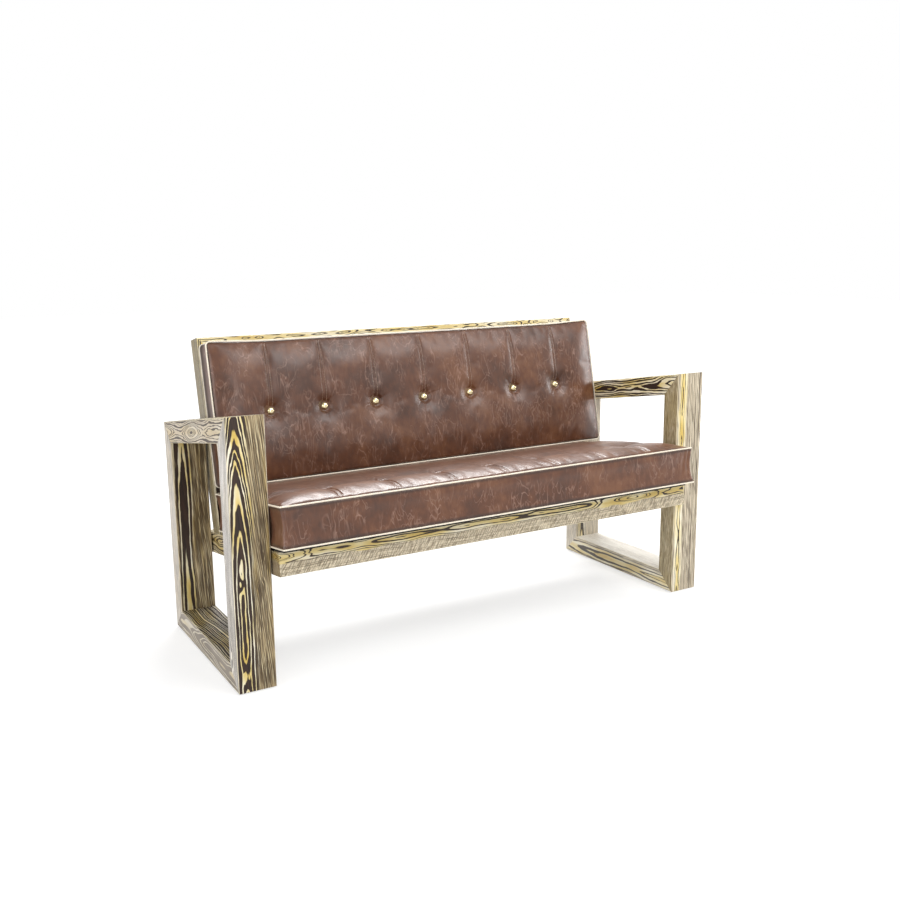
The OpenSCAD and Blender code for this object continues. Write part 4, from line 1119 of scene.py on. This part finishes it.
def stitch_tree():
    """Stitches of thread along a line, one every pitch."""
    tree, entry, leave = node_tree("stitches", (
        ("Pitch", "NodeSocketFloat"), ("Length", "NodeSocketFloat"),
        ("Thickness", "NodeSocketFloat"), ("Material", "NodeSocketMaterial")))
    path = add(tree, "GeometryNodeMeshToCurve", (entry["Geometry"],))
    path = add(tree, "GeometryNodeResampleCurve", {"Curve": path, "Length": entry["Pitch"]},
               mode="LENGTH")
    tangent = add(tree, "GeometryNodeInputTangent")
    turn = add(tree, "FunctionNodeAlignRotationToVector", {"Vector": tangent}, axis="Z")
    bead = add(tree, "GeometryNodeMeshUVSphere", {"Segments": 8, "Rings": 5, "Radius": 0.5})
    size = add(tree, "ShaderNodeCombineXYZ",
               (entry["Thickness"], entry["Thickness"], entry["Length"]))
    stitch = add(tree, "GeometryNodeTransform", {"Geometry": bead, "Scale": size})
    row = add(tree, "GeometryNodeInstanceOnPoints",
              {"Points": path, "Instance": stitch, "Rotation": turn})
    finish_tree(tree, row, leave)
    return tree


def button_tree():
    """Domed caps, one on each point, turned with the back cushion."""
    tree, entry, leave = node_tree("buttons", (
        ("Cap", "NodeSocketObject"), ("Turn", "NodeSocketVector"),
        ("Material", "NodeSocketMaterial")))
    cap = add(tree, "GeometryNodeObjectInfo", {"Object": entry["Cap"]}, out="Geometry")
    row = add(tree, "GeometryNodeInstanceOnPoints",
              {"Points": entry["Geometry"], "Instance": cap, "Rotation": entry["Turn"]})
    finish_tree(tree, row, leave)
    return tree


def loop_places(cushion, inset, spacing=0.003):
    """Places round the cushion's outline at an inset, evenly spaced."""
    half = CUSHION_HALF - inset
    tall = cushion.height / 2 - inset
    corner = cushion.corner - inset
    middle = cushion.height / 2
    places = []
    turns = 8
    for quarter, (sx, sy) in enumerate(((1, -1), (1, 1), (-1, 1), (-1, -1))):
        centre = (sx * (half - corner), middle + sy * (tall - corner))
        for k in range(turns + 1):
            angle = math.radians(-90 + 90 * quarter + 90 * k / turns)
            places.append((centre[0] + corner * math.cos(angle),
                           centre[1] + corner * math.sin(angle)))
    even = []
    for a, b in zip(places, places[1:] + places[:1]):
        steps = max(1, round(math.dist(a, b) / spacing))
        for k in range(steps):
            even.append((a[0] + (b[0] - a[0]) * k / steps, a[1] + (b[1] - a[1]) * k / steps))
    return np.array(even)


def ride(piece, *replaced, slot):
    """Puts a piece on the bench's one body, in place of any CAD nodes it stands for."""
    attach(piece, "root")
    if replaced:
        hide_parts(*replaced)


PIPING_TREE = piping_tree()
STITCH_TREE = stitch_tree()


def piping(cushion, level, node):
    """One loop of piping at a height of the cushion."""
    flat = loop_places(cushion, PIPING_RADIUS)
    points = np.column_stack([flat, np.full(len(flat), level)])
    count = len(points)
    edges = [(k, (k + 1) % count) for k in range(count)]
    made = grown(node + "_cord", cushion.placed(points), edges, PIPING_TREE,
                 {"Radius": PIPING_RADIUS, "Gathers": 0.0007, "Gather length": 90.0,
                  "Material": PIPING_CLOTH})
    ride(made, node, slot="cream_piping")


def stitches(cushion, on_face):
    """Two rows of stitches in the grooves of every pleat."""
    clear = 0.012
    button_clear = 0.016
    points = []
    edges = []
    for seam in SEAMS:
        for side in (-1, 1):
            if cushion is SEAT:
                y = np.linspace(clear, SEAT.tuft - clear, 60)
            else:
                y = np.linspace(BACK.tuft + button_clear, BACK.height - clear, 80)
            bow, spread = pleat_course(cushion, y)
            x = seam + bow + side * spread
            line = on_face(x, y)
            first = len(points)
            points += line.tolist()
            edges += [(first + k, first + k + 1) for k in range(len(line) - 1)]
    made = grown(cushion.name + "_stitches", cushion.placed(points), edges, STITCH_TREE,
                 {"Pitch": 0.0042, "Length": 0.0034, "Thickness": 0.0010, "Material": THREAD})
    ride(made, slot="brown_leather")


def brass_cap():
    """One button: a domed cap with a rolled edge on a short shank, about its own Z axis."""
    rim = 0.0009
    shank_radius = 0.0025
    shank_depth = 0.006
    steps = 9
    profile = [(0.0, BUTTON_DOME)]
    for k in range(1, steps):
        angle = math.pi / 2 * k / steps
        profile.append(((BUTTON_RADIUS - rim) * math.sin(angle),
                        rim + (BUTTON_DOME - rim) * math.cos(angle)))
    for k in range(6):
        angle = math.radians(75 - 33 * k)
        profile.append((BUTTON_RADIUS - rim + rim * math.cos(angle), rim * math.sin(angle)))
    profile += [(shank_radius, -rim), (shank_radius, -shank_depth), (0.0, -shank_depth)]
    turns = 40
    points = []
    faces = []
    for k in range(turns):
        angle = 2 * math.pi * k / turns
        for radius, height in profile[1:-1]:
            points.append((radius * math.cos(angle), radius * math.sin(angle), height))
    inner = len(profile) - 2
    top = len(points)
    points += [(0, 0, profile[0][1]), (0, 0, profile[-1][1])]
    for k in range(turns):
        a = k * inner
        b = (k + 1) % turns * inner
        faces.append((top, a, b))
        for j in range(inner - 1):
            faces.append((a + j, a + j + 1, b + j + 1, b + j))
        faces.append((a + inner - 1, top + 1, b + inner - 1))
    mesh = bpy.data.meshes.new("brass_cap")
    mesh.from_pydata(points, [], faces)
    mesh.shade_smooth()
    return mesh


def buttons():
    """Seven brass buttons in the hollows of the back cushion."""
    cap = new_object("brass_cap", brass_cap())
    sunk = 0.0004
    level = BACK.seam_z() + FACE_LIFT + CROWN - BUTTON_HOLLOW - sunk
    points = [(seam, BACK.tuft, level) for seam in SEAMS]
    turn = Matrix(BACK.turn.tolist()).to_euler("XYZ")
    made = grown("tuft_button_caps", BACK.placed(points), [], button_tree(),
                 {"Cap": cap, "Turn": tuple(turn), "Material": BRASS})
    bpy.data.objects.remove(cap)
    ride(made, "tuft_buttons", slot="button_brass")


for cushion in (SEAT, BACK):
    leather_cover, on_face = cover(cushion)
    ride(leather_cover, cushion.name, slot="brown_leather")
    stitches(cushion, on_face)
piping(SEAT, SEAT.seam_z(), "seat_top_piping")
piping(SEAT, PIPING_RADIUS, "seat_bottom_piping")
piping(BACK, BACK.seam_z(), "back_front_piping")
piping(BACK, PIPING_RADIUS, "back_rear_piping")
buttons()


# Studio: a plain pale floor, a white surround and soft lamps
WHITE = (1, 1, 1, 1)


def seen_directly(tree):
    """1 for what the camera sees, straight or in gloss, and 0 for light on matt surfaces."""
    path = add(tree, "ShaderNodeLightPath").node.outputs
    either = add(tree, MATHS, (path["Is Camera Ray"], path["Is Glossy Ray"]),
                 operation="MAXIMUM")
    return add(tree, MATHS, (either, path["Is Transmission Ray"]), operation="MAXIMUM")


def make_world():
    world = bpy.data.worlds.new("studio")
    world.use_nodes = True
    scene.world = world
    tree = world.node_tree
    tree.nodes.clear()
    fill = add(tree, "ShaderNodeBackground", {"Color": WHITE, "Strength": 0.5})
    surround = add(tree, "ShaderNodeBackground", {"Color": WHITE, "Strength": 1.0})
    both = add(tree, "ShaderNodeMixShader", (seen_directly(tree), fill, surround))
    add(tree, "ShaderNodeOutputWorld", (both,))


def make_floor():
    material = bpy.data.materials.new("studio_floor")
    material.use_nodes = True
    tree = material.node_tree
    tree.nodes.clear()
    matt = add(tree, "ShaderNodeBsdfDiffuse", {"Color": (0.8, 0.8, 0.8, 1)})
    # To the camera the floor is nearly the white of the surround, and keeps a soft shadow
    faint = add(tree, "ShaderNodeBsdfDiffuse", {"Color": (0.5, 0.5, 0.5, 1)})
    # The glow is weaker round the bench, so that its shadow shows
    place = add(tree, "ShaderNodeTexCoord", out="Object")
    away = add(tree, VECTORS, (place,), out="Value", operation="LENGTH")
    strength = add(tree, RANGE, (away, 0.8, 2.4, 0.62, 1.0), interpolation_type="SMOOTHSTEP")
    glow = add(tree, "ShaderNodeEmission", {"Color": WHITE, "Strength": strength})
    seen = add(tree, "ShaderNodeAddShader", (faint, glow))
    both = add(tree, "ShaderNodeMixShader", (seen_directly(tree), matt, seen))
    add(tree, "ShaderNodeOutputMaterial", (both,))
    half = 14
    mesh = bpy.data.meshes.new("floor")
    mesh.from_pydata([(-half, -half, 0), (half, -half, 0), (half, half, 0), (-half, half, 0)],
                     [], [(0, 1, 2, 3)])
    mesh.materials.append(material)
    new_object("floor", mesh)


def softbox(name, place, target, width, height, power):
    """A rectangular lamp that faces its target."""
    data = bpy.data.lights.new(name, "AREA")
    data.shape = "RECTANGLE"
    data.size = width
    data.size_y = height
    data.energy = power
    lamp = new_object(name, data)
    lamp.location = place
    lamp.rotation_mode = "QUATERNION"
    lamp.rotation_quaternion = (Vector(target) - Vector(place)).to_track_quat("-Z", "Y")


make_world()
make_floor()
softbox("rear_overhead", (0.75, 1.6, 2.35), (0, -0.15, 0.45), 1.9, 0.6, 62)
softbox("front_key", (1.0, -2.0, 2.7), (0, 0, 0.4), 2.4, 1.6, 53)
softbox("front_left", (-0.55, -2.9, 1.45), (-0.5, 0, 0.65), 0.3, 0.8, 8)
softbox("left_side", (-4.5, -1.2, 1.6), (-0.3, 0, 0.4), 5.0, 3.2, 108)
softbox("right_side", (4.05, -0.9, 1.25), (0.5, 0, 0.6), 0.8, 1.5, 38)
